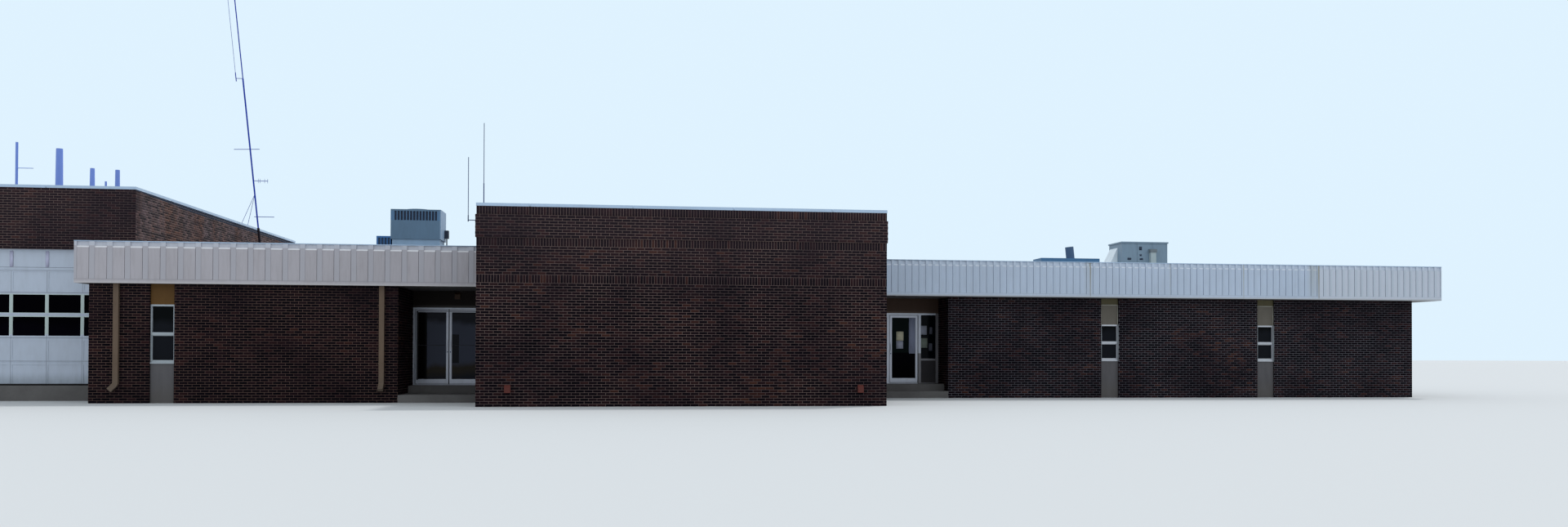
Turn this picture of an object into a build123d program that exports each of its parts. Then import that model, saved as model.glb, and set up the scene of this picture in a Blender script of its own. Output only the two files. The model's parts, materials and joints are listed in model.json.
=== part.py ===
from build123d import *
import os

# Town hall: a low brick building with a taller centre block, two flat-roofed wings with ribbed
# metal fascias and a fire station hall at the left. It is a 1:2 scale model, and every size is
# the model's own, in mm. +X runs along the front to the viewer's right, +Y into the building.

# Plan, along the front from left to right
station_pier = 269.0
station_mid_pier = 300.0
overhead_door_width = 1660.0
wing_past_station = 204.0
left_wall_length = 3709.0
left_porch_width = 1135.0
centre_width = 4960.0
right_porch_width = 1520.0
right_wall_length = 7410.0

# Plan, back from the centre block's front
left_wing_setback = 1300.0
station_setback = 2150.0
left_door_setback = 2375.0
right_wing_setback = 2700.0
right_door_setback = 3270.0
building_depth = 9700.0

# Heights: the floor stands above the lowest ground, and the others are measured from the floor
floor_height = 200.0
porch_step = 100.0
porch_step_depth = 350.0
soffit_height = 1290.0
fascia_height = 520.0
ceiling_height = 1540.0
centre_height = 2208.0
centre_ceiling_height = 1880.0
station_height = 2598.0
station_ceiling_height = 2200.0
roof_slab = 160.0

# Masonry and copings
wall = 150.0
soldier = 100.0
corbel = 12.0
corbel_height = 272.0
coping_height = 36.0
coping_skirt = 22.0
coping_lip = 6.0

# Eaves and ribbed metal fascias
left_overhang = 112.0
right_overhang = 305.0
right_end_overhang = 257.0
sheet = 20.0
pan_depth = 11.0
pan_ledge = 13.0
pan_gap = 6.0
rib_depth = 15.0
left_rib_pitch = 203.0
left_rib_width = 62.0
right_rib_pitch = 101.5
right_rib_width = 32.0
cap_band = 62.0
foot_band = 52.0
soffit_board = 20.0

# Window bays
left_bay_offset = 709.0
left_bay_width = 294.0
right_bay_width = 278.0
right_bay_offsets = (2357.0, 4852.0)
left_sill = 295.0
left_head = 1035.0
right_sill = 350.0
right_head = 900.0
right_panel_joint = 1195.0
joint_trim = 12.0
reveal = 30.0
window_depth = 45.0
window_bar = 22.0
sash_step = 12.0
sill_lip = 14.0
panel_depth = 30.0
pane = 6.0

# Entries
leaf_height = 1016.0
leaf_depth = 24.0
stile = 34.0
top_rail = 34.0
bottom_rail = 64.0
frame_depth = 56.0
frame_header = 52.0
threshold = 12.0
left_jamb = 24.0
left_leaf_bay = 455.0
left_mullion = 34.0
right_jamb = 45.0
right_mullion = 40.0
right_sidelight = 230.0
knee_height = 350.0
knee_rail = 30.0
heel_gap = 8.0
meeting_gap = 8.0
rail_gap = 6.0
pivot_inset = 30.0
pivot_radius = 6.0
pivot_length = 10.0
pivot_clearance = 0.05
push_bar_height = 550.0
push_bar = (18.0, 8.0)
push_bar_standoff = 22.0
pull_length = 110.0
pull_height = 500.0
pull_standoff = 20.0
pull_bar = 9.0

# Overhead doors
overhead_door_height = 1778.0
overhead_setback = 50.0
overhead_depth = 30.0
overhead_stile = 42.0
overhead_panel_pitch = 435.0
overhead_joints = (304.0, 621.0, 922.0, 1212.0, 1514.0)
overhead_joint = 5.0
overhead_recess = 4.0
overhead_rail = 34.0
overhead_glass_rail = 27.0
glazed_sections = (1, 2)

# Rain pipes
pipe_width = 64.0
pipe_depth = 44.0
pipe_offset = 327.0
porch_pipe_offset = 195.0
pipe_foot = 165.0
pipe_kick = 75.0
pipe_bend = 45.0
strap = 14.0
strap_lip = 4.0

# Left roof unit, from the centre block's left front corner
left_unit_x = -1705.0
left_unit_y = 3750.0
left_unit_width = 723.0
left_unit_depth = 500.0
left_unit_height = 442.0
left_unit_curb = 428.0
curb_inset = 20.0
louvre_height = 137.0
louvre_drop = 25.0
louvre_margin = 56.0
louvre_pitch = 45.0
louvre_slat = 12.0
louvre_recess = 14.0
fan_radius = 190.0
fan_rim = 14.0
fan_lift = 16.0
fan_hub = 45.0
fan_spokes = 8
ring_sides = 24
side_box_width = 205.0
side_box_depth = 380.0
side_box_height = 470.0
side_box_margins = (24.0, 12.0)
switch_box = (58.0, 90.0, 120.0)
switch_box_drop = 392.0
switch_box_back = 345.0
conduit_radius = 9.0

# Right roof unit, from the centre block's right front corner
right_unit_x = 5616.0
right_unit_y = 6000.0
right_unit_width = 860.0
right_unit_depth = 570.0
right_unit_height = 660.0
right_unit_curb = 99.0
lid_lip = 14.0
lid_height = 26.0
hood_reach = 150.0
hood_height = 300.0
hood_drop = 70.0
hood_back = 187.0
hood_length = 350.0
hood_sheet = 6.0
unit_panels = 3
seam = 8.0
seam_depth = 5.0
flue_box = (100.0, 80.0, 494.0)
flue_cap = 12.0
flue_cap_height = 57.0
flue_offset = 513.0

# Roof duct and vent stack, from the centre block's right front corner
duct_x = 3935.0
duct_y = 5500.0
duct_width = 1060.0
duct_depth = 420.0
duct_height = 430.0
stack_offset = 608.0
stack_radius = 73.0
stack_wall = 8.0
stack_height = 215.0
stack_lean = 6.0

# Radio mast on the left wing's roof, leaning towards the station
mast_x = -4293.0
mast_y = 6500.0
mast_lean = 6.06
mast_foot_radius = 20.0
mast_foot_height = 830.0
mast_radius = 13.0
mast_joint_height = 3350.0
mast_top_radius = 9.0
mast_height = 5000.0
mast_plate = 130.0
mast_plate_thickness = 10.0
rod_sides = 12
arm_radius = 5.0
mast_arm_height = 1020.0
mast_arm_ends = (-46.0, 274.0)
boom_height = 1627.0
boom_reach = 235.0
boom_elements = (78.0, 105.0, 180.0, 228.0)
element_reach = 37.0
element_radius = 2.5
cross_arm_height = 2157.0
cross_arm_ends = (-258.0, 149.0)
cross_arm_tilt = 6.0
side_arm_reach = 115.0
aerial_reach = 110.0
sleeve_drop = 50.0
sleeve_rise = 100.0
sleeve_radius = 7.5
aerial_short = 60.0
aerial_radius = 3.3
stay_radius = 3.5
stay_height = 1400.0
stay_feet = (206.0, 534.0)
stay_plate = 50.0
stay_plate_thickness = 6.0

# Whip antennas on the centre block
whip_radius = 4.0
whip_base_radius = 6.0
whip_base_length = 240.0
whip_length = 960.0
side_whip_length = 760.0
side_whip_reach = 130.0
side_whip_drop = 45.0
side_whip_inset = 260.0
side_whip_foot = 18.0
side_whip_sleeve = 60.0

# Flues and a pipe on the station roof: place, radius at foot and top, top above the floor
station_vent_y = 5000.0
station_flues = ((-6845.0, 60.0, 47.0, 3545.0), (-6371.0, 43.0, 32.0, 3256.0),
                 (-6008.0, 40.0, 32.0, 3239.0))
station_pipe = (-6176.0, 15.0, 15.0, 3059.0)
service_mast = (-7452.0, 19.0, 19.0, 3630.0)
service_arm_height = 3237.0
service_arm_length = 236.0

# Small fixtures on the walls: width, height and their places from the centre block's corner
fixture_depth = 36.0
fixture_width = 72.0
fixture_height = 96.0
fixture_hood = 30.0
fixture_spots = (334.0, 4596.0)
fixture_level = -34.0
porch_light_x = -575.0
porch_light_level = 1180.0

# Levels from the ground
z_floor = floor_height
z_soffit = z_floor + soffit_height
z_ceiling = z_floor + ceiling_height
z_roof = z_ceiling + roof_slab
z_centre = z_floor + centre_height
z_station = z_floor + station_height
z_leaf = z_floor + threshold + rail_gap
z_header = z_leaf + leaf_height + rail_gap

# Plan lines, with the model centred on its own box
proud = sheet + rib_depth
station_width = 2 * (station_pier + overhead_door_width) + station_mid_pier
wings_left = -left_porch_width - left_wall_length
west = wings_left + wing_past_station - station_width - coping_lip
east = centre_width + right_porch_width + right_wall_length + right_end_overhang + rib_depth
south = -fixture_depth
north = building_depth + right_overhang + rib_depth
x_centre = -(west + east) / 2
y_front = -(south + north) / 2
x_centre_end = x_centre + centre_width
x_left_porch = x_centre - left_porch_width
x_left_end = x_left_porch - left_wall_length
x_station_end = x_left_end + wing_past_station
x_station = x_station_end - station_width
x_right_wall = x_centre_end + right_porch_width
x_right_end = x_right_wall + right_wall_length
y_left = y_front + left_wing_setback
y_station = y_front + station_setback
y_left_door = y_front + left_door_setback
y_right = y_front + right_wing_setback
y_right_door = y_front + right_door_setback
y_rear = y_front + building_depth
left_reach = left_overhang - sheet
right_reach = right_overhang - sheet
right_end_reach = right_end_overhang - sheet

os.makedirs("parts", exist_ok=True)


def save(part, name):
    """Label a finished piece and write it to its own file."""
    part.label = name
    export_step(part, f"parts/{name}.step")


def block(x0, x1, y0, y1, z0, z1, mode=Mode.ADD):
    """Add a block between two corners to the part being built."""
    with Locations(((x0 + x1) / 2, (y0 + y1) / 2, (z0 + z1) / 2)):
        Box(abs(x1 - x0), abs(y1 - y0), abs(z1 - z0), mode=mode)


def area(x0, x1, y0, y1, mode=Mode.ADD):
    """Add a rectangle between two corners to the sketch being drawn."""
    with Locations(((x0 + x1) / 2, (y0 + y1) / 2)):
        Rectangle(abs(x1 - x0), abs(y1 - y0), mode=mode)


def front_plane(y):
    """Give a plane at depth y whose X and Y axes are the model's X and Z."""
    return Plane.XZ.offset(-y)


# Floors: the slab inside the walls, a step lower under both porches


def make_floors():
    """Make the building's slab with its porch floors, and the station's own slab."""
    inner_rear = y_rear - wall
    with BuildPart() as floors:
        with BuildSketch(Plane.XY):
            area(x_centre + wall, x_centre_end - wall, y_front + wall, inner_rear)
            area(x_station_end, x_left_porch - wall, y_left + wall, inner_rear)
            area(x_left_end + wall, x_station_end, y_left + wall, y_station)
            area(x_left_porch - wall, x_centre + wall, y_left_door + frame_depth, inner_rear)
            area(x_left_porch, x_centre, y_left_door - porch_step_depth, y_left_door + frame_depth)
            area(x_centre_end - wall, x_right_wall + wall, y_right_door + frame_depth, inner_rear)
            area(x_centre_end, x_right_wall, y_right_door - porch_step_depth,
                 y_right_door + frame_depth)
            area(x_right_wall + wall, x_right_end - wall, y_right + wall, inner_rear)
        extrude(amount=floor_height)
        with BuildSketch(Plane.XY):
            area(x_left_porch, x_centre, y_left, y_left_door)
            area(x_centre_end, x_right_wall, y_right, y_right_door)
        extrude(amount=floor_height - porch_step)
        with BuildSketch(Plane.XY):
            area(x_station + wall, x_station_end - wall, y_station + wall, inner_rear)
            for x in overhead_edges:
                area(x, x + overhead_door_width, y_station, y_station + wall)
        extrude(amount=floor_height)
    save(floors.part, "floors")


# Fire station hall


overhead_edges = (x_station + station_pier,
                  x_station_end - station_pier - overhead_door_width)


def make_station():
    """Make the station's walls and roof; the front is piers with a wall over the doors."""
    z_door = z_floor + overhead_door_height
    with BuildPart() as piers:
        block(x_station, overhead_edges[0], y_station, y_station + wall, 0, z_station)
        block(overhead_edges[0] + overhead_door_width, overhead_edges[1],
              y_station, y_station + wall, 0, z_door)
        block(x_station_end - station_pier, x_station_end, y_station, y_station + wall, 0, z_station)
    save(piers.part, "station_piers")
    with BuildPart() as lintel:
        block(x_station + station_pier, x_station_end - station_pier, y_station, y_station + wall,
              z_door, z_station)
    save(lintel.part, "station_lintel")
    with BuildPart() as sides:
        for x in (x_station, x_station_end - wall):
            block(x, x + wall, y_station + wall, y_rear - wall, 0, z_station)
    save(sides.part, "station_side_walls")
    with BuildPart() as rear:
        block(x_station, x_station_end, y_rear - wall, y_rear, 0, z_station)
    save(rear.part, "station_rear_wall")
    with BuildPart() as roof:
        z = z_floor + station_ceiling_height
        block(x_station + wall, x_station_end - wall, y_station + wall, y_rear - wall,
              z, z + roof_slab)
    save(roof.part, "station_roof")


def make_copings():
    """Make the folded metal copings: a cap on the walls with a skirt down their faces."""
    with BuildPart() as copings:
        for x0, x1, y0, z in ((x_station, x_station_end, y_station, z_station),
                              (x_centre, x_centre_end, y_front, z_centre)):
            with BuildSketch(Plane.XY.offset(z)):
                area(x0 - coping_lip, x1 + coping_lip, y0 - coping_lip, y_rear + coping_lip)
                area(x0 + wall + coping_lip, x1 - wall - coping_lip,
                     y0 + wall + coping_lip, y_rear - wall - coping_lip, mode=Mode.SUBTRACT)
            extrude(amount=coping_height - coping_skirt)
            with BuildSketch(Plane.XY.offset(z - coping_skirt)):
                area(x0 - coping_lip, x1 + coping_lip, y0 - coping_lip, y_rear + coping_lip)
                area(x0, x1, y0, y_rear, mode=Mode.SUBTRACT)
            extrude(amount=coping_skirt)
    save(copings.part, "copings")


def make_overhead_doors():
    """Make two sectional doors: joints between the sections, sunk panels and two glazed rows."""
    y_face = y_station + overhead_setback
    tops = overhead_joints + (overhead_door_height,)
    bottoms = (0.0,) + overhead_joints
    sections = [(z_floor + low, z_floor + high) for low, high in zip(bottoms, tops)]
    stiles = [-overhead_door_width / 2] + [overhead_panel_pitch * i for i in (-1, 0, 1)]
    stiles.append(overhead_door_width / 2)
    columns = [(a + overhead_stile / 2, b - overhead_stile / 2) for a, b in zip(stiles, stiles[1:])]
    centres = [x + overhead_door_width / 2 for x in overhead_edges]
    glazed = [sections[i + 1] for i in glazed_sections]
    solid = [section for section in sections if section not in glazed]

    def cells(rows, margin):
        for cx in centres:
            for low, high in rows:
                for left, right in columns:
                    area(cx + left, cx + right, low + margin, high - margin)

    with BuildPart() as doors:
        with BuildSketch(front_plane(y_face)):
            for x in overhead_edges:
                area(x, x + overhead_door_width, z_floor, z_floor + overhead_door_height)
        extrude(amount=-overhead_depth)
        with BuildSketch(front_plane(y_face)):
            cells(solid, overhead_rail)
        extrude(amount=-overhead_recess, mode=Mode.SUBTRACT)
        with BuildSketch(front_plane(y_face)):
            for x in overhead_edges:
                for joint in overhead_joints:
                    area(x, x + overhead_door_width, z_floor + joint - overhead_joint / 2,
                         z_floor + joint + overhead_joint / 2)
        extrude(amount=-overhead_recess, mode=Mode.SUBTRACT)
        with BuildSketch(front_plane(y_face)):
            cells(glazed, overhead_glass_rail)
        extrude(amount=-overhead_depth, mode=Mode.SUBTRACT)
    save(doors.part, "overhead_doors")
    with BuildPart() as glass:
        with BuildSketch(front_plane(y_face + (overhead_depth - pane) / 2)):
            cells(glazed, overhead_glass_rail)
        extrude(amount=-pane)
    save(glass.part, "overhead_door_glass")


# Wings. A wall is a row of slabs between its window bays, which run from the ground to the eaves.


x_left_bay = x_left_end + left_bay_offset
right_bays = [x_right_wall + offset for offset in right_bay_offsets]


def make_wall(name, start, end, y, bays, width):
    """Make a wall along the front or the rear, open at its window bays."""
    edges = [start] + [x for bay in bays for x in (bay, bay + width)] + [end]
    with BuildPart() as slabs:
        for x0, x1 in zip(edges[::2], edges[1::2]):
            block(x0, x1, y, y + wall, 0, z_ceiling)
    save(slabs.part, name)


def make_wings():
    """Make the walls and roofs of both wings."""
    y_back = y_rear - wall
    make_wall("left_wing_front_wall", x_left_end, x_left_porch, y_left, [x_left_bay], left_bay_width)
    make_wall("left_wing_rear_wall", x_station_end, x_centre, y_back, [x_left_bay], left_bay_width)
    make_wall("right_wing_front_wall", x_right_wall, x_right_end, y_right, right_bays,
              right_bay_width)
    make_wall("right_wing_rear_wall", x_centre_end, x_right_end, y_back, right_bays, right_bay_width)
    with BuildPart() as left_end:
        block(x_left_end, x_left_end + wall, y_left + wall, y_station, 0, z_ceiling)
    save(left_end.part, "left_wing_end_wall")
    with BuildPart() as right_end:
        block(x_right_end - wall, x_right_end, y_right + wall, y_back, 0, z_ceiling)
    save(right_end.part, "right_wing_end_wall")
    with BuildPart() as porch:
        block(x_left_porch - wall, x_left_porch, y_left + wall, y_left_door + frame_depth,
              0, z_ceiling)
        block(x_right_wall, x_right_wall + wall, y_right + wall, y_right_door + frame_depth,
              0, z_ceiling)
    save(porch.part, "porch_walls")
    with BuildPart() as left_roof:
        with BuildSketch(Plane.XY.offset(z_ceiling)):
            area(x_left_end - left_reach, x_centre, y_left - left_reach, y_rear + left_reach)
            area(x_left_end - left_reach, x_station_end, y_station, y_rear + left_reach,
                 mode=Mode.SUBTRACT)
        extrude(amount=roof_slab)
    save(left_roof.part, "left_wing_roof")
    with BuildPart() as right_roof:
        with BuildSketch(Plane.XY.offset(z_ceiling)):
            area(x_centre_end, x_right_end + right_end_reach, y_right - right_reach,
                 y_rear + right_reach)
        extrude(amount=roof_slab)
    save(right_roof.part, "right_wing_roof")


def make_fascia(name, plane, length, pitch, rib):
    """Make a ribbed fascia that stands on a plane's X axis and faces along its normal.

    Ribs run from the foot band to the top. A pan fills the width beside each rib but for a narrow
    gap at its far end, and slopes back at its top in a ledge below the cap band. Its side profile
    is drawn once on every pan's own side plane, and all pans are extruded together.
    """
    count = max(1, round(length / pitch))
    step = length / count
    ribs = [i * step for i in range(1, count)]
    sides = [Plane(plane.from_local_coords(Vector(i * step + rib / 2, foot_band, sheet)),
                   x_dir=plane.z_dir, z_dir=-plane.x_dir) for i in range(count)]
    rib_height = fascia_height - foot_band
    pan_height = rib_height - cap_band
    with BuildPart() as skin:
        with BuildSketch(plane):
            area(0, length, 0, fascia_height)
        extrude(amount=sheet)
        with BuildSketch(*sides):
            with BuildLine():
                Polyline((0, 0), (pan_depth, 0), (pan_depth, pan_height - pan_ledge),
                         (0, pan_height), close=True)
            make_face()
        extrude(amount=-(step - rib - pan_gap))
        with BuildSketch(plane.offset(sheet)):
            area(0, length, 0, foot_band)
            area(0, rib / 2, foot_band, fascia_height)
            area(length - rib / 2, length, foot_band, fascia_height)
            with Locations(*[(x, foot_band) for x in ribs]):
                Rectangle(rib, rib_height, align=(Align.CENTER, Align.MIN))
        extrude(amount=rib_depth)
    save(skin.part, name)


def facing_y(x, y, out):
    """Give the foot of a face that looks along -Y (out -1, from x rightwards) or +Y (out 1)."""
    return Plane(origin=(x, y, z_soffit), x_dir=(-out, 0, 0), z_dir=(0, out, 0))


def facing_x(x, y, out):
    """Give the foot of a face that looks along +X (out 1, from y backwards) or -X (out -1)."""
    return Plane(origin=(x, y, z_soffit), x_dir=(0, out, 0), z_dir=(out, 0, 0))


def make_fascias():
    """Make the fascias; the front and rear ones run past the end ones to close the corners."""
    left_edge = x_left_end - left_reach
    right_edge = x_right_end + right_end_reach
    left = (left_rib_pitch, left_rib_width)
    right = (right_rib_pitch, right_rib_width)
    make_fascia("left_fascia_front", facing_y(left_edge - proud, y_left - left_reach, -1),
                x_centre - left_edge + proud, *left)
    make_fascia("left_fascia_end", facing_x(left_edge, y_station, -1),
                y_station - y_left + left_reach, *left)
    make_fascia("left_fascia_rear", facing_y(x_centre, y_rear + left_reach, 1),
                x_centre - x_station_end, *left)
    make_fascia("right_fascia_front", facing_y(x_centre_end, y_right - right_reach, -1),
                right_edge - x_centre_end + proud, *right)
    make_fascia("right_fascia_rear", facing_y(right_edge + proud, y_rear + right_reach, 1),
                right_edge - x_centre_end + proud, *right)
    make_fascia("right_fascia_end", facing_x(right_edge, y_right - right_reach, 1),
                y_rear - y_right + 2 * right_reach, *right)


def make_soffits():
    """Make the boards under the eaves and over the porches."""
    with BuildPart() as soffits:
        with BuildSketch(Plane.XY.offset(z_soffit)):
            area(x_left_end - left_reach, x_centre, y_left - left_reach, y_left)
            area(x_left_end - left_reach, x_left_end, y_left, y_station)
            area(x_left_porch, x_centre, y_left, y_left_door)
            area(x_station_end, x_centre, y_rear, y_rear + left_reach)
            area(x_centre_end, x_right_end + right_end_reach, y_right - right_reach, y_right)
            area(x_centre_end, x_right_wall, y_right, y_right_door)
            area(x_right_end, x_right_end + right_end_reach, y_right, y_rear + right_reach)
            area(x_centre_end, x_right_end, y_rear, y_rear + right_reach)
        extrude(amount=soffit_board)
    save(soffits.part, "soffits")


# Window bays: a lower panel, a double-hung window and an upper panel, one above the other


def window_bays():
    """List each bay as its left edge, width, outer face, outward sign, sill and head."""
    left = (left_bay_width, z_floor + left_sill, z_floor + left_head)
    right = (right_bay_width, z_floor + right_sill, z_floor + right_head)
    bays = []
    for x, (width, sill, head), y in ([(x_left_bay, left, y_left)]
                                      + [(bay, right, y_right) for bay in right_bays]):
        bays.append((x, width, y + reveal, -1, sill, head))
        bays.append((x, width, y_rear - reveal, 1, sill, head))
    return bays


def make_window_bays():
    """Make the panels, the sashes and the panes of every bay."""
    z_trim = z_floor + right_panel_joint
    with BuildPart() as lower:
        for x, width, y, out, sill, head in window_bays():
            block(x, x + width, y, y - out * panel_depth, 0, sill)
        for x0, x1, y in knee_bays():
            block(x0, x1, y + (frame_depth - panel_depth) / 2, y + (frame_depth + panel_depth) / 2,
                  z_floor + threshold, z_floor + knee_height)
    save(lower.part, "lower_panels")
    with BuildPart() as upper:
        for x, width, y, out, sill, head in window_bays():
            block(x, x + width, y, y - out * panel_depth, head, z_ceiling)
            if width == right_bay_width:
                block(x, x + width, y, y + out * joint_trim / 2, z_trim, z_trim + joint_trim)
    save(upper.part, "upper_panels")
    with BuildPart() as frames:
        for x, width, y, out, sill, head in window_bays():
            middle = (sill + head) / 2
            inner = y - out * window_depth
            block(x, x + width, y, inner, sill, head)
            block(x, x + width, y, y + out * sill_lip, sill, sill + sill_lip)
            block(x + window_bar / 2, x + width - window_bar / 2, y, y - out * sash_step,
                  sill + sill_lip, middle - window_bar / 2, mode=Mode.SUBTRACT)
            for low, high in pane_levels(sill, head):
                block(x + window_bar, x + width - window_bar, y, inner, low, high,
                      mode=Mode.SUBTRACT)
    save(frames.part, "window_frames")
    with BuildPart() as glass:
        for x, width, y, out, sill, head in window_bays():
            middle = y - out * (sash_step + window_depth) / 2
            for low, high in pane_levels(sill, head):
                block(x + window_bar, x + width - window_bar, middle, middle - out * pane, low, high)
        for x0, x1, y in knee_bays():
            block(x0, x1, y + frame_depth / 2, y + frame_depth / 2 + pane,
                  z_floor + knee_height + knee_rail, z_header)
        y_pane = y_right_door + (frame_depth - pane) / 2
        block(x_meet_right - right_leaf_bay + stile, x_meet_right - meeting_gap / 2 - stile,
              y_pane, y_pane + pane, z_leaf + bottom_rail, z_leaf + leaf_height - top_rail)
    save(glass.part, "fixed_glass")


def pane_levels(sill, head):
    """Give the foot and top of a window's lower and upper pane."""
    middle = (sill + head) / 2
    return ((sill + 2 * window_bar, middle - window_bar), (middle + window_bar, head - window_bar))


# Entries. A leaf turns on round pins in the threshold and the header, and swings outwards.


x_meet_left = x_left_porch + left_jamb + left_leaf_bay
x_left_side = x_meet_left + left_leaf_bay + left_mullion
x_meet_right = x_centre_end + right_porch_width / 2
right_leaf_bay = right_porch_width / 2 - right_jamb - right_sidelight - right_mullion


def knee_bays():
    """List the sidelight bays as left edge, right edge and the frame's outer face."""
    out_left = x_centre_end + right_jamb
    out_right = x_right_wall - right_jamb
    return [(x_left_side, x_centre - left_jamb, y_left_door),
            (out_left, out_left + right_sidelight, y_right_door),
            (out_right - right_sidelight, out_right, y_right_door)]


def make_leaf(name, x_jamb, bay, hand, y_face):
    """Make a leaf and its pane beside the jamb at x_jamb; it reaches along hand (1 is +X)."""
    x_heel = x_jamb + hand * heel_gap
    x_edge = x_jamb + hand * (bay - meeting_gap / 2)
    x_pin = x_heel + hand * pivot_inset
    y_mid = y_face + frame_depth / 2
    low, high = y_mid - leaf_depth / 2, y_mid + leaf_depth / 2
    x_in, x_out = x_heel + hand * stile, x_edge - hand * stile
    z_top = z_leaf + leaf_height
    z_push = z_floor + push_bar_height
    z_pull = z_floor + pull_height
    with BuildPart() as leaf:
        with BuildSketch(front_plane(low)):
            area(x_heel, x_edge, z_leaf, z_top)
            area(x_in, x_out, z_leaf + bottom_rail, z_top - top_rail, mode=Mode.SUBTRACT)
        extrude(amount=-leaf_depth)
        with Locations((x_pin, y_mid, z_leaf - pivot_length / 2),
                       (x_pin, y_mid, z_top + pivot_length / 2)):
            Cylinder(pivot_radius, pivot_length)
        block(x_in - hand * stile / 2, x_out + hand * stile / 2, high + push_bar_standoff,
              high + push_bar_standoff - push_bar[1], z_push, z_push + push_bar[0])
        for x in (x_in - hand * stile / 2, x_out + hand * stile / 2):
            block(x - push_bar[1] / 2, x + push_bar[1] / 2, high, high + push_bar_standoff,
                  z_push, z_push + push_bar[0])
        x_pull = x_edge - hand * stile / 2
        block(x_pull - pull_bar / 2, x_pull + pull_bar / 2, low - pull_standoff,
              low - pull_standoff + pull_bar, z_pull, z_pull + pull_length)
        for z in (z_pull, z_pull + pull_length - pull_bar):
            block(x_pull - pull_bar / 2, x_pull + pull_bar / 2, low - pull_standoff, low,
                  z, z + pull_bar)
    save(leaf.part, name)
    with BuildPart() as glass:
        block(x_in, x_out, y_mid - pane / 2, y_mid + pane / 2, z_leaf + bottom_rail, z_top - top_rail)
    save(glass.part, name + "_glass")
    return x_pin, y_mid


def make_frame(name, x0, x1, y_face, doorway, sidelights, pins):
    """Make a welded entry frame with its threshold, and the holes for the leaves' pins."""
    with BuildPart() as frame:
        with BuildSketch(front_plane(y_face)):
            area(x0, x1, z_floor, z_header + frame_header)
            area(*doorway, z_floor + threshold, z_header, mode=Mode.SUBTRACT)
            for left, right in sidelights:
                area(left, right, z_floor + threshold, z_floor + knee_height, mode=Mode.SUBTRACT)
                area(left, right, z_floor + knee_height + knee_rail, z_header, mode=Mode.SUBTRACT)
        extrude(amount=-frame_depth)
        for x, y in pins:
            with Locations((x, y, z_floor + threshold / 2), (x, y, z_header + frame_header / 2)):
                Cylinder(pivot_radius + pivot_clearance, frame_header, mode=Mode.SUBTRACT)
    save(frame.part, name)


def make_entries():
    """Make both entries; the right one's hidden leaf is fixed in its bay."""
    left_knees = [(x0, x1) for x0, x1, y in knee_bays() if y == y_left_door]
    right_knees = [(x0, x1) for x0, x1, y in knee_bays() if y == y_right_door]
    left_pins = [make_leaf("left_entry_leaf_a", x_left_porch + left_jamb, left_leaf_bay, 1,
                           y_left_door),
                 make_leaf("left_entry_leaf_b", x_meet_left + left_leaf_bay, left_leaf_bay, -1,
                           y_left_door)]
    make_frame("left_entry_frame", x_left_porch, x_centre, y_left_door,
               (x_left_porch + left_jamb, x_meet_left + left_leaf_bay), left_knees, left_pins)
    right_pins = [make_leaf("right_entry_leaf", x_meet_right + right_leaf_bay, right_leaf_bay, -1,
                            y_right_door)]
    make_frame("right_entry_frame", x_centre_end, x_right_wall, y_right_door,
               (x_meet_right - right_leaf_bay, x_meet_right + right_leaf_bay), right_knees,
               right_pins)
    x_fixed = x_meet_right - right_leaf_bay
    x_edge = x_meet_right - meeting_gap / 2
    with BuildPart() as fixed:
        with BuildSketch(front_plane(y_right_door + (frame_depth - leaf_depth) / 2)):
            area(x_fixed, x_edge, z_floor + threshold, z_header)
            area(x_fixed + stile, x_edge - stile, z_leaf + bottom_rail,
                 z_leaf + leaf_height - top_rail, mode=Mode.SUBTRACT)
        extrude(amount=-leaf_depth)
    save(fixed.part, "right_entry_fixed_leaf")
    with BuildPart() as transoms:
        for x0, x1, y in ((x_left_porch, x_centre, y_left_door),
                          (x_centre_end, x_right_wall, y_right_door)):
            block(x0, x1, y, y + panel_depth, z_header + frame_header, z_ceiling)
    save(transoms.part, "transom_panels")


# Centre block, with a band of brick that stands out below its top soldier course


def make_centre():
    """Make the centre block's walls and roof."""
    band_top = z_centre - coping_skirt - soldier
    band = (band_top - corbel_height, band_top)
    runs = {"centre_porch_walls": ((y_front + wall, y_left_door + frame_depth, 0),
                                   (y_front + wall, y_right_door + frame_depth, 0)),
            "centre_upper_walls": ((y_left_door + frame_depth, y_rear - wall, z_ceiling),
                                   (y_right_door + frame_depth, y_rear - wall, z_ceiling))}
    for name, (left, right) in runs.items():
        with BuildPart() as sides:
            block(x_centre, x_centre + wall, *left, z_centre)
            block(x_centre - corbel, x_centre, *left[:2], *band)
            block(x_centre_end - wall, x_centre_end, *right, z_centre)
            block(x_centre_end, x_centre_end + corbel, *right[:2], *band)
        save(sides.part, name)
    for name, y, out in (("centre_front_wall", y_front, -1), ("centre_rear_wall", y_rear - wall, 1)):
        face = y_front if out < 0 else y_rear
        with BuildPart() as end:
            block(x_centre, x_centre_end, y, y + wall, 0, z_centre)
            block(x_centre - corbel, x_centre_end + corbel, face + out * corbel,
                  face - out * wall, *band)
        save(end.part, name)
    with BuildPart() as roof:
        z = z_floor + centre_ceiling_height
        block(x_centre + wall, x_centre_end - wall, y_front + wall, y_rear - wall, z, z + roof_slab)
    save(roof.part, "centre_roof")


# Rain pipes: a flat-sided pipe down the wall, kicked out at its foot


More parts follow.
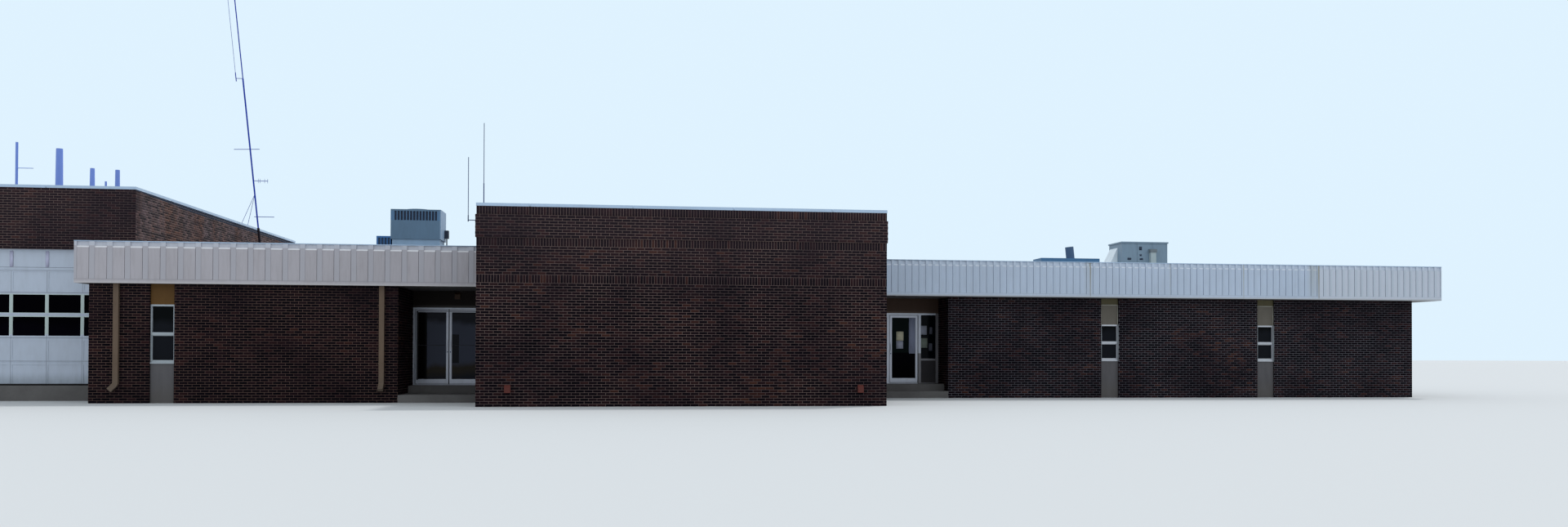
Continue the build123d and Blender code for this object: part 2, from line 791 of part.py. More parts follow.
def make_rain_pipes():
    """Sweep each pipe down the left wing's front; the outer one kicks left, the other forward."""
    y_pipe = y_left - pipe_depth / 2
    with BuildPart() as pipes:
        for x, kick in ((x_left_end + pipe_offset, (-pipe_kick, 0)),
                        (x_left_porch - porch_pipe_offset, (0, -pipe_kick))):
            with BuildLine() as route:
                FilletPolyline((x, y_pipe, z_soffit), (x, y_pipe, pipe_foot + pipe_kick),
                               (x + kick[0], y_pipe + kick[1], pipe_foot), radius=pipe_bend)
            with BuildSketch(Plane.XY.offset(z_soffit)):
                area(x - pipe_width / 2, x + pipe_width / 2, y_left - pipe_depth, y_left)
            sweep(path=route.wires()[0])
            for z in (z_floor + left_sill, z_floor + left_head):
                block(x - pipe_width / 2 - strap_lip, x + pipe_width / 2 + strap_lip,
                      y_left - pipe_depth - strap_lip, y_left, z, z + strap)
    save(pipes.part, "rain_pipes")


# Roof equipment


def louvres(x0, x1, y, out, z0, z1):
    """Sink a louvre field into a front or rear face and stand its slats in it."""
    block(x0, x1, y, y - out * louvre_recess, z0, z1, mode=Mode.SUBTRACT)
    count = int((x1 - x0) / louvre_pitch)
    start = (x0 + x1 - (count - 1) * louvre_pitch) / 2
    for i in range(count):
        x = start + i * louvre_pitch
        block(x - louvre_slat / 2, x + louvre_slat / 2, y, y - out * louvre_recess, z0, z1)


def make_left_unit():
    """Make the left air unit on its curb, with a low louvred box and a switch box beside it."""
    x0, y0 = x_centre + left_unit_x, y_front + left_unit_y
    x1, y1 = x0 + left_unit_width, y0 + left_unit_depth
    z0 = z_roof + left_unit_curb
    z1 = z0 + left_unit_height
    with BuildPart() as unit:
        block(x0 + curb_inset, x1 - curb_inset, y0 + curb_inset, y1 - curb_inset, z_roof, z0)
        block(x0, x1, y0, y1, z0, z1)
        for y, out in ((y0, -1), (y1, 1)):
            louvres(x0 + louvre_margin, x1 - louvre_margin, y, out,
                    z1 - louvre_drop - louvre_height, z1 - louvre_drop)
        with BuildSketch(Plane.XY.offset(z1)):
            with Locations(((x0 + x1) / 2, (y0 + y1) / 2)):
                RegularPolygon(fan_radius, ring_sides)
                RegularPolygon(fan_radius - fan_rim, ring_sides, mode=Mode.SUBTRACT)
                RegularPolygon(fan_hub, ring_sides)
                with PolarLocations((fan_radius + fan_hub) / 2 - fan_rim / 2, fan_spokes):
                    Rectangle(fan_radius - fan_hub, fan_rim / 2)
        extrude(amount=fan_lift)
        width, depth, height = switch_box
        z_switch = z1 - switch_box_drop
        y_switch = y0 + switch_box_back
        block(x1, x1 + width, y_switch, y_switch + depth, z_switch, z_switch + height)
        with Locations((x1 + width / 2, y_switch + depth / 2, z_roof)):
            Cylinder(conduit_radius, z_switch - z_roof, align=(Align.CENTER, Align.CENTER, Align.MIN))
    save(unit.part, "left_roof_unit")
    with BuildPart() as side:
        xs = x0 - side_box_width
        zs = z_roof + side_box_height
        block(xs, x0, y0 + curb_inset, y0 + curb_inset + side_box_depth, z_roof, zs)
        louvres(xs + side_box_margins[0], x0 - side_box_margins[1], y0 + curb_inset, -1,
                zs - louvre_drop - louvre_height, zs - louvre_drop)
    save(side.part, "side_roof_box")


def make_right_unit():
    """Make the right air unit with its lid, sloping intake hood, panel seams and flue."""
    x0, y0 = x_centre_end + right_unit_x, y_front + right_unit_y
    x1, y1 = x0 + right_unit_width, y0 + right_unit_depth
    z0 = z_roof + right_unit_curb
    z1 = z0 + right_unit_height
    with BuildPart() as unit:
        block(x0 + curb_inset, x1 - curb_inset, y0 + curb_inset, y1 - curb_inset, z_roof, z0)
        block(x0, x1, y0, y1, z0, z1)
        for i in range(1, unit_panels):
            x = x0 + i * right_unit_width / unit_panels
            for y, out in ((y0, -1), (y1, 1)):
                block(x - seam / 2, x + seam / 2, y, y - out * seam_depth, z0, z1,
                      mode=Mode.SUBTRACT)
        block(x0 - lid_lip, x1 + lid_lip, y0 - lid_lip, y1 + lid_lip, z1, z1 + lid_height)
        z_hood = z1 - hood_drop
        with BuildSketch(front_plane(y0 + hood_back)):
            with BuildLine():
                Polyline((x0, z_hood), (x0 - hood_reach, z_hood - hood_height),
                         (x0, z_hood - hood_height), close=True)
            make_face()
        extrude(amount=-hood_length)
        with BuildSketch(front_plane(y0 + hood_back + hood_sheet)):
            with BuildLine():
                Polyline((x0, z_hood - 2 * hood_sheet),
                         (x0 - hood_reach + hood_sheet, z_hood - hood_height),
                         (x0, z_hood - hood_height), close=True)
            make_face()
        extrude(amount=-(hood_length - 2 * hood_sheet), mode=Mode.SUBTRACT)
        width, depth, height = flue_box
        x_flue = x0 + flue_offset
        block(x_flue, x_flue + width, y0 - depth, y0, z0, z0 + height)
        block(x_flue - flue_cap, x_flue + width + flue_cap, y0 - depth - flue_cap, y0,
              z0 + height, z0 + height + flue_cap_height)
    save(unit.part, "right_roof_unit")


def make_duct_and_stack():
    """Make the low duct and the leaning vent stack on it, open at its top."""
    x0, y0 = x_centre_end + duct_x, y_front + duct_y
    z1 = z_roof + duct_height
    with BuildPart() as duct:
        block(x0, x0 + duct_width, y0, y0 + duct_depth, z_roof, z1)
    save(duct.part, "roof_duct")
    lift = Plane(origin=(x0 + stack_offset, y0 + duct_depth / 2, z1),
                 z_dir=Vector(0, 0, 1).rotate(Axis.Y, -stack_lean))
    with BuildPart() as stack:
        with BuildSketch(lift):
            RegularPolygon(stack_radius, ring_sides)
        extrude(amount=stack_height)
        with BuildSketch(lift.offset(stack_height)):
            RegularPolygon(stack_radius - stack_wall, ring_sides)
        extrude(amount=-stack_height / 2, mode=Mode.SUBTRACT)
        block(x0, x0 + duct_width, y0, y0 + duct_depth, z_roof, z1, mode=Mode.SUBTRACT)
    save(stack.part, "vent_stack")


def make_rods(name, rods, plates=()):
    """Make rods that are polygons in section, and flat plates given by their corners.

    Each rod has a start, an end and its radius at both. The two ends are sketched on planes
    across the rod's own line and lofted, so a flue can taper.
    """
    with BuildPart() as piece:
        for corners in plates:
            block(*corners)
        for start, end, foot_radius, top_radius in rods:
            line = Vector(*end) - Vector(*start)
            with BuildSketch(Plane(origin=start, z_dir=line)):
                RegularPolygon(foot_radius, rod_sides)
            with BuildSketch(Plane(origin=end, z_dir=line)):
                RegularPolygon(top_radius, rod_sides)
            loft()
    save(piece.part, name)


def make_mast():
    """Make the leaning radio mast with its aerials, and the stays down to the station's coping."""
    foot = Vector(x_centre + mast_x, y_front + mast_y, z_roof + mast_plate_thickness / 2)
    rise = Vector(0, 0, 1).rotate(Axis.Y, -mast_lean)
    z_stay = z_station + coping_height - coping_skirt
    half = mast_plate / 2

    def at(height, dx=0.0, dy=0.0, dz=0.0):
        return tuple(foot + rise * height + Vector(dx, dy, dz))

    sleeve_foot = mast_joint_height - sleeve_drop
    sleeve_top = mast_joint_height + sleeve_rise
    spans = [(at(0), at(mast_foot_height), mast_foot_radius),
             (at(mast_foot_height), at(mast_joint_height), mast_radius),
             (at(mast_joint_height), at(mast_height), mast_top_radius),
             (at(mast_arm_height, mast_arm_ends[0]), at(mast_arm_height, mast_arm_ends[1]),
              arm_radius),
             (at(boom_height), at(boom_height, boom_reach), arm_radius),
             (at(cross_arm_height, cross_arm_ends[0], 0, -cross_arm_tilt),
              at(cross_arm_height, cross_arm_ends[1], 0, cross_arm_tilt), arm_radius),
             (at(mast_joint_height), at(mast_joint_height, -side_arm_reach), arm_radius),
             (at(sleeve_foot, -aerial_reach), at(sleeve_top, -aerial_reach), sleeve_radius),
             (at(sleeve_top, -aerial_reach), at(mast_height - aerial_short, -aerial_reach),
              aerial_radius)]
    for dx in boom_elements:
        spans.append((at(boom_height, dx, 0, -element_reach), at(boom_height, dx, 0, element_reach),
                      element_radius))
    plates = [(foot.X - half, foot.X + half, foot.Y - half, foot.Y + half,
               z_roof, z_roof + mast_plate_thickness)]
    for back in stay_feet:
        x, y = x_station_end - wall / 2, foot.Y + back
        spans.append(((x, y, z_stay + stay_plate_thickness / 2), at(stay_height), stay_radius))
        plates.append((x - stay_plate / 2, x + stay_plate / 2, y - stay_plate / 2,
                       y + stay_plate / 2, z_stay, z_stay + stay_plate_thickness))
    make_rods("radio_mast", [(*span, span[-1]) for span in spans], plates)


def make_whips():
    """Make the whip antenna on the parapet and the one on an arm from the block's left wall."""
    x_wall, y_wall = x_centre + wall / 2, y_front + wall / 2
    z_cap = z_centre + coping_height - coping_skirt
    x_side, y_side = x_centre - side_whip_reach, y_front + side_whip_inset
    z_side = z_centre - coping_skirt - soldier - side_whip_drop
    z_sleeve = z_side + side_whip_sleeve
    base, thin = (whip_base_radius, whip_base_radius), (whip_radius, whip_radius)
    make_rods("whip_antennas", [
        ((x_wall, y_wall, z_cap), (x_wall, y_wall, z_cap + whip_base_length), *base),
        ((x_wall, y_wall, z_cap + whip_base_length), (x_wall, y_wall, z_cap + whip_length), *thin),
        ((x_centre - corbel, y_side, z_side), (x_side, y_side, z_side), arm_radius, arm_radius),
        ((x_side, y_side, z_side - side_whip_foot), (x_side, y_side, z_sleeve), *base),
        ((x_side, y_side, z_sleeve), (x_side, y_side, z_side + side_whip_length), *thin)])


def make_station_vents():
    """Make the flues and the pipe on the station roof and the service mast with its arm."""
    y, z = y_front + station_vent_y, z_floor + station_ceiling_height + roof_slab
    z_arm = z_floor + service_arm_height
    x_mast = x_centre + service_mast[0]
    rods = [((x_centre + x, y, z), (x_centre + x, y, z_floor + top), foot_radius, top_radius)
            for x, foot_radius, top_radius, top in (*station_flues, station_pipe, service_mast)]
    rods.append(((x_mast, y, z_arm), (x_mast + service_arm_length, y, z_arm), arm_radius,
                 arm_radius))
    make_rods("station_vents", rods)


def make_fixtures():
    """Make the hooded boxes on the centre block's front and the light over the left entry."""
    spots = [(x_centre + x, y_front, z_floor + fixture_level) for x in fixture_spots]
    spots.append((x_centre + porch_light_x, y_left_door, z_floor + porch_light_level))
    with BuildPart() as fixtures:
        for x, y, z in spots:
            with BuildSketch(Plane.YZ.offset(x)):
                with BuildLine():
                    Polyline((y, z), (y - fixture_depth, z), (y - fixture_depth,
                             z + fixture_height - fixture_hood), (y, z + fixture_height), close=True)
                make_face()
            extrude(amount=fixture_width)
    save(fixtures.part, "wall_fixtures")


make_floors()
make_station()
make_copings()
make_overhead_doors()
make_wings()
make_fascias()
make_soffits()
make_window_bays()
make_entries()
make_centre()
make_rain_pipes()
make_left_unit()
make_right_unit()
make_duct_and_stack()
make_mast()
make_whips()
make_station_vents()
make_fixtures()
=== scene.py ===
"""Blender looks for the town hall model.

The CAD frame gives every solid. This script lays the bricks on its walls, gives each node its
finish, adds the small fittings and sets up the studio, the lights and the camera. All sizes are
the 1:2 model's own, in metres. +X runs along the front to the viewer's right, +Y runs into the
building and +Z is up.
"""

from __future__ import annotations

import json
import logging
import math
from dataclasses import dataclass, field, replace
from enum import Enum
from typing import Iterator, Protocol, Sequence, Union

import bpy
import numpy as np
from mathutils import Euler, Matrix, Vector

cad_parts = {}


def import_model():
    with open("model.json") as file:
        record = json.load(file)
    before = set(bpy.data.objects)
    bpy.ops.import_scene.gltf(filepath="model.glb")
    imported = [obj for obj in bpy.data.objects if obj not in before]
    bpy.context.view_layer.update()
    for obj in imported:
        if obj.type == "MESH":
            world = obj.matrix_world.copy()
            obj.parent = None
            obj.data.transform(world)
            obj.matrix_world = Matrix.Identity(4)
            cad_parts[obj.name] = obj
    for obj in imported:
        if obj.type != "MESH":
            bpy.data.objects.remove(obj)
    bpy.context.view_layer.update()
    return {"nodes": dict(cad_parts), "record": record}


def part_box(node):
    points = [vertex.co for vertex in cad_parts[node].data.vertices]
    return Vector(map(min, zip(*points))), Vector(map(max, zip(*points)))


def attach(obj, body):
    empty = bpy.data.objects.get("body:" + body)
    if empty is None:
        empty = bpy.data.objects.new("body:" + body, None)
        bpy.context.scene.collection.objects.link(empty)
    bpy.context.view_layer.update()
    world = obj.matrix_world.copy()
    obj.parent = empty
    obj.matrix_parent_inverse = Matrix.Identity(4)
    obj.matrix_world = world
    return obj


LOG = logging.getLogger("town_hall")
BODY = "building"
Colour = tuple[float, float, float]
Triple = tuple[float, float, float]
Pair = tuple[float, float]
Block = tuple[float, float, float, float, float, float]
SHARP = 0.0004
FAR = 50.0
EVERYWHERE = (-FAR, FAR)


# Shader graphs


@dataclass(frozen=True)
class Pattern:
    """A noise pattern in an object's own coordinates.

    Attributes:
        scale: Features per metre.
        detail: Number of finer layers.
        stretch: Factors on the three coordinates.
        rough: Strength of the finer layers.
    """

    scale: float
    detail: float = 3.0
    stretch: Triple = (1.0, 1.0, 1.0)
    rough: float = 0.5


class Socket:
    """A shader node's output that can be used in Python arithmetic."""

    def __init__(self, graph: Graph, output: bpy.types.NodeSocket) -> None:
        """Wrap an output of a graph."""
        self.graph = graph
        self.output = output

    def _join(self, operation: str, first: Value, second: Value = 0.0) -> Socket:
        """Join two values by a maths node, or by a vector maths node where one is a vector.

        Args:
            operation: The node's operation.
            first: Its first value.
            second: Its second value.

        Returns:
            The result.
        """
        vector = any(isinstance(v, Socket) and v.output.type == "VECTOR" for v in (first, second))
        kind = "ShaderNodeVectorMath" if vector else "ShaderNodeMath"
        return self.graph.node(kind, {"operation": operation}, {0: first, 1: second})

    def __add__(self, other: Value) -> Socket:
        """Add."""
        return self._join("ADD", self, other)

    def __radd__(self, other: Value) -> Socket:
        """Add to a plain value."""
        return self._join("ADD", other, self)

    def __sub__(self, other: Value) -> Socket:
        """Subtract."""
        return self._join("SUBTRACT", self, other)

    def __rsub__(self, other: Value) -> Socket:
        """Subtract from a plain value."""
        return self._join("SUBTRACT", other, self)

    def __mul__(self, other: Value) -> Socket:
        """Multiply."""
        return self._join("MULTIPLY", self, other)

    def __rmul__(self, other: Value) -> Socket:
        """Multiply a plain value."""
        return self._join("MULTIPLY", other, self)

    def __truediv__(self, other: Value) -> Socket:
        """Divide."""
        return self._join("DIVIDE", self, other)

    def __rtruediv__(self, other: Value) -> Socket:
        """Divide a plain value."""
        return self._join("DIVIDE", other, self)

    def __neg__(self) -> Socket:
        """Change the sign."""
        return self._join("MULTIPLY", self, -1.0)

    def __abs__(self) -> Socket:
        """Drop the sign."""
        return self._join("ABSOLUTE", self)

    def __mod__(self, other: Value) -> Socket:
        """Give the remainder, which is never negative."""
        return self._join("FLOORED_MODULO", self, other)

    def between(self, low: float, high: float, soft: float = 0.001) -> Socket:
        """Give 1 where the value lies between two limits and 0 elsewhere.

        Args:
            low: Lower limit.
            high: Upper limit.
            soft: Width of the soft edge at both limits.

        Returns:
            The mask.
        """
        return self.rising(low - soft, low) * (1.0 - self.rising(high, high + soft))

    def rising(self, low: float, high: float) -> Socket:
        """Give a smooth step from 0 at ``low`` to 1 at ``high``."""
        return self.graph.node("ShaderNodeMapRange", {"interpolation_type": "SMOOTHSTEP"},
                               {"Value": self, "From Min": low, "From Max": high})


Value = Union[Socket, float, Sequence[float]]


class Graph:
    """A material's node tree, built by method calls."""

    def __init__(self, name: str) -> None:
        """Start a material whose graph has nothing but the object's own coordinates.

        Args:
            name: Material name.
        """
        self.material = bpy.data.materials.new(name)
        self.material.use_nodes = True
        self.tree = self.material.node_tree
        self.tree.nodes.clear()
        self.position = self.node("ShaderNodeTexCoord", output="Object")
        self.x, self.y, self.z = self.parts(self.position)

    def node(self, kind: str, settings: dict | None = None, values: dict | None = None,
             output: Union[str, int] = 0) -> Socket:
        """Add a node.

        Args:
            kind: Blender's class name for the node.
            settings: Values for the node's own properties.
            values: Values or sockets for its inputs, by name or number.
            output: The output to return, by name or number.

        Returns:
            The output, wrapped for arithmetic.
        """
        made = self.tree.nodes.new(kind)
        for key, value in (settings or {}).items():
            setattr(made, key, value)
        for key, value in (values or {}).items():
            self._feed(made.inputs[key], value)
        return Socket(self, made.outputs[output])

    def _feed(self, socket: bpy.types.NodeSocket, value: Value) -> None:
        """Link an output to an input, or write a plain value or colour on it.

        Args:
            socket: The input.
            value: The output or the plain value.
        """
        if isinstance(value, Socket):
            self.tree.links.new(value.output, socket)
        elif socket.type == "RGBA" and len(value) == 3:
            socket.default_value = (*value, 1.0)
        else:
            socket.default_value = value

    def parts(self, vector: Socket) -> tuple[Socket, Socket, Socket]:
        """Split a vector into its three numbers."""
        made = self.tree.nodes.new("ShaderNodeSeparateXYZ")
        self.tree.links.new(vector.output, made.inputs[0])
        return tuple(Socket(self, out) for out in made.outputs)

    def attribute(self, name: str) -> Socket:
        """Read a mesh attribute as a number."""
        return self.node("ShaderNodeAttribute", {"attribute_name": name}, output="Fac")

    def mix(self, first: Value, second: Value, factor: Value) -> Socket:
        """Mix two colours by a factor, which is 1 for the second colour alone."""
        return self.node("ShaderNodeMix", {"data_type": "RGBA"},
                         {0: factor, 6: first, 7: second}, output=2)

    def noise(self, pattern: Pattern) -> Socket:
        """Give a noise pattern, from 0 to 1."""
        return self.node("ShaderNodeTexNoise", None,
                         {"Vector": self.position * pattern.stretch, "Scale": pattern.scale,
                          "Detail": pattern.detail, "Roughness": pattern.rough})

    def ramp(self, value: Value, stops: Sequence[tuple[float, Colour]]) -> Socket:
        """Colour a number by stops along a ramp.

        Args:
            value: The number, from 0 to 1.
            stops: The ramp's places and colours in order.

        Returns:
            The colour.
        """
        made = self.tree.nodes.new("ShaderNodeValToRGB")
        self._feed(made.inputs[0], value)
        elements = made.color_ramp.elements
        while len(elements) < len(stops):
            elements.new(0.5)
        for element, (place, colour) in zip(elements, stops):
            element.position = place
            element.color = (*colour, 1.0)
        return Socket(self, made.outputs[0])

    def bump(self, height: Value, distance: float, strength: float = 1.0) -> Socket:
        """Turn a height pattern into a bumped normal."""
        return self.node("ShaderNodeBump", None,
                         {"Height": height, "Distance": distance, "Strength": strength})

    def surface(self, **values: Value) -> bpy.types.Material:
        """Close the graph with one surface shader.

        Args:
            values: Inputs of the surface; an underscore in a name stands for a space.

        Returns:
            The finished material.
        """
        named = {key.replace("_", " "): value for key, value in values.items()}
        shader = self.node("ShaderNodeBsdfPrincipled", None, named)
        self.node_output(shader)
        return self.material

    def node_output(self, shader: Socket) -> None:
        """Connect a shader to the material's output."""
        made = self.tree.nodes.new("ShaderNodeOutputMaterial")
        self.tree.links.new(shader.output, made.inputs["Surface"])


# Finishes


@dataclass(frozen=True)
class BrickFinish:
    """Fired brick whose tone differs from brick to brick.

    The ramp takes a brick's own tone, the wall's soft patches and the wall's painted light, which
    lifts the tones of a sunlit wall and lowers those of a shaded one. A bloom, a haze that grows
    with height, lit and weathered faces on walls with painted light and a painted shadow below the
    coping go over it.

    Attributes:
        name: Material name.
        tones: The ramp from the darkest to the palest brick.
        bloom: Colour of the salty specks.
        haze: Colour of the haze between haze_foot and haze_top.
        lit_rusty: One colour of the faces lightened as painted sunlight, streaked by weathering
            runs.
        lit_chalky: The other colour of those faces.
        soot: Colour of the darkest bricks among them.
        under_coping: Colour of the painted shadow below the coping of a wall with painted light.
        eaves: Level of the coping's foot.
        corner: Y at which the shadow's depth starts to grow.
    """

    name: str = "brick_faces"
    tones: tuple[tuple[float, Colour], ...] = (
        (0.0, (0.0016, 0.0012, 0.0030)), (0.30, (0.0044, 0.0025, 0.0047)),
        (0.55, (0.0105, 0.0048, 0.0072)), (0.80, (0.0240, 0.0090, 0.0098)),
        (1.0, (0.054, 0.0210, 0.0145)))
    bloom: Colour = (0.022, 0.013, 0.020)
    haze: Colour = (0.060, 0.042, 0.052)
    lit_rusty: Colour = (0.150, 0.078, 0.060)
    lit_chalky: Colour = (0.145, 0.108, 0.118)
    soot: Colour = (0.012, 0.015, 0.020)
    under_coping: Colour = (0.028, 0.042, 0.070)
    eaves: float = 2.55
    corner: float = 0.0
    haze_foot: float = 0.9
    haze_top: float = 2.6
    haze_share: float = 0.28
    patches: Pattern = Pattern(0.8, 4.0, (1.0, 1.0, 2.4))
    patch_share: float = 0.9
    tone_share: float = 0.80
    tone_base: float = 0.10
    tone_lift: float = 0.22
    speckle: Pattern = Pattern(160.0, 2.0)
    bloom_ramp: Pair = (0.52, 0.80)
    bloom_share: float = 0.35
    runs: Pattern = Pattern(2.6, 4.0, (0.3, 1.0, 0.20), 0.65)
    run_ramp: Pair = (0.35, 0.65)
    soot_ramp: Pair = (0.10, 1.0)
    lit_ramp: Pair = (0.0, 0.9)
    lit_share: float = 0.8
    shade_edge: float = 0.008
    shade_depth: float = 0.010
    shade_gain: float = 0.052
    shade_run: Pair = (-0.6, 2.6)
    shade_share: float = 0.92
    grit: float = 0.0006

    def build(self) -> bpy.types.Material:
        """Make the material.

        Returns:
            The material.
        """
        g = Graph(self.name)
        # The wall's painted light lifts the tones of the sunlit station side and lowers those of
        # the shaded wing fronts.
        tone, lift = g.attribute("tone"), g.attribute("faded")
        patches = (g.noise(self.patches) - 0.5) * self.patch_share
        colour = g.ramp(tone * self.tone_share + patches + self.tone_base + lift * self.tone_lift,
                        self.tones)
        speckle = g.noise(self.speckle)
        colour = g.mix(colour, self.bloom, speckle.rising(*self.bloom_ramp) * self.bloom_share)
        height = g.z.rising(self.haze_foot, self.haze_top)
        colour = g.mix(colour, self.haze, height * self.haze_share)
        # Faces lightened as painted sunlight on a wall with painted light, with weathering runs
        # through them.
        worn = g.mix(self.lit_rusty, self.lit_chalky, g.noise(self.runs).rising(*self.run_ramp))
        worn = g.mix(worn, self.soot, (1.0 - tone).rising(*self.soot_ramp) * self.lit_share)
        faded = lift.rising(*self.lit_ramp)
        colour = g.mix(colour, worn, faded * self.lit_share)
        # Painted shadow below the coping, deeper further along the wall.
        along = g.y.rising(self.corner + self.shade_run[0], self.corner + self.shade_run[1])
        reach = along * self.shade_gain + self.shade_depth
        shade = (g.z + reach - self.eaves).rising(-self.shade_edge, self.shade_edge) * faded
        colour = g.mix(colour, self.under_coping, shade * self.shade_share)
        return g.surface(Base_Color=colour, Roughness=0.9, Specular_IOR_Level=0.05,
                         Normal=g.bump(speckle, self.grit))


@dataclass(frozen=True)
class MortarFinish:
    """Weathered mortar, which also shows on the plain backs of the walls."""

    name: str = "mortar"
    colour: Colour = (0.185, 0.132, 0.118)
    dark: Colour = (0.086, 0.063, 0.063)
    patches: Pattern = Pattern(1.2, 4.0)
    patch_ramp: Pair = (0.35, 0.7)
    grain: Pattern = Pattern(90.0)
    grit: float = 0.0008

    def build(self) -> bpy.types.Material:
        """Make the material.

        Returns:
            The material.
        """
        g = Graph(self.name)
        colour = g.mix(self.colour, self.dark, g.noise(self.patches).rising(*self.patch_ramp))
        return g.surface(Base_Color=colour, Roughness=0.95, Specular_IOR_Level=0.08,
                         Normal=g.bump(g.noise(self.grain), self.grit))


@dataclass(frozen=True)
class Zone:
    """A block of space inside which a painted piece has another colour."""

    colour: Colour
    x: Pair = EVERYWHERE
    y: Pair = EVERYWHERE
    z: Pair = EVERYWHERE

    def mask(self, g: Graph) -> Socket:
        """Give 1 inside the zone and 0 outside."""
        return (g.x.between(*self.x, SHARP) * g.y.between(*self.y, SHARP)
                * g.z.between(*self.z, SHARP))

    def over(self, g: Graph, ground: Socket, worn: float, share: Socket) -> Socket:
        """Paint the zone over a colour.

        Args:
            g: The graph.
            ground: The colour outside the zone.
            worn: Brightness of the zone's stains.
            share: Strength of the stains.

        Returns:
            The colour inside and outside.
        """
        stain = tuple(value * worn for value in self.colour)
        return g.mix(ground, g.mix(self.colour, stain, share), self.mask(g))


@dataclass(frozen=True)
class Paint:
    """Painted or plain sheet with soft stains and dirt above the ground.

    Attributes:
        name: Material name.
        colour: Colour of the clean sheet.
        stain: Colour of the stained sheet.
        stain_share: Strength of the stains.
        roughness: Roughness of the surface.
        metallic: Share of bare metal.
        streaks: Fine upright streaks.
        streak_ramp: Range of the pattern over which they grow.
        streak_share: Their share in the stains; the rest is the clouds'.
        clouds: Wide soft patches.
        cloud_ramp: Range of the pattern over which they grow.
        dirt_low: Level up to which the dirt is full.
        dirt_top: Level at which the dirt ends, or none.
        dirt: Colour of the dirt.
        dirt_base: Least strength of the dirt.
        dirt_streaks: What the streaks add to it.
        gloss: Specular level.
        zones: Blocks of space with another colour.
        worn: Brightness of a zone's stains.
    """

    name: str
    colour: Colour
    stain: Colour
    stain_share: float = 0.35
    roughness: float = 0.5
    metallic: float = 0.0
    streaks: Pattern = Pattern(14.0, 5.0, (1.0, 1.0, 0.25), 0.6)
    streak_ramp: Pair = (0.35, 0.75)
    streak_share: float = 0.6
    clouds: Pattern = Pattern(1.7)
    cloud_ramp: Pair = (0.3, 0.7)
    dirt_low: float = 0.02
    dirt_top: float = 0.0
    dirt: Colour = (0.10, 0.09, 0.075)
    dirt_base: float = 0.245
    dirt_streaks: float = 0.35
    gloss: float = 0.4
    zones: tuple[Zone, ...] = ()
    worn: float = 0.72

    def build(self) -> bpy.types.Material:
        """Make the material.

        Returns:
            The material.
        """
        g = Graph(self.name)
        streaks, clouds = g.noise(self.streaks), g.noise(self.clouds)
        share = (streaks.rising(*self.streak_ramp) * self.streak_share
                 + clouds.rising(*self.cloud_ramp) * (1.0 - self.streak_share)) * self.stain_share
        colour = g.mix(self.colour, self.stain, share)
        for zone in self.zones:
            colour = zone.over(g, colour, self.worn, share)
        if self.dirt_top:
            low = 1.0 - g.z.rising(self.dirt_low, self.dirt_top)
            colour = g.mix(colour, self.dirt,
                           low * (self.dirt_base + streaks * self.dirt_streaks))
        return g.surface(Base_Color=colour, Roughness=self.roughness, Metallic=self.metallic,
                         Specular_IOR_Level=self.gloss, Normal=g.bump(clouds, 0.001, 0.4))


@dataclass(frozen=True)
class Streak:
    """A rust run down a fascia: its place along X, its width and how strong it is."""

    x: float
    width: float
    strength: float


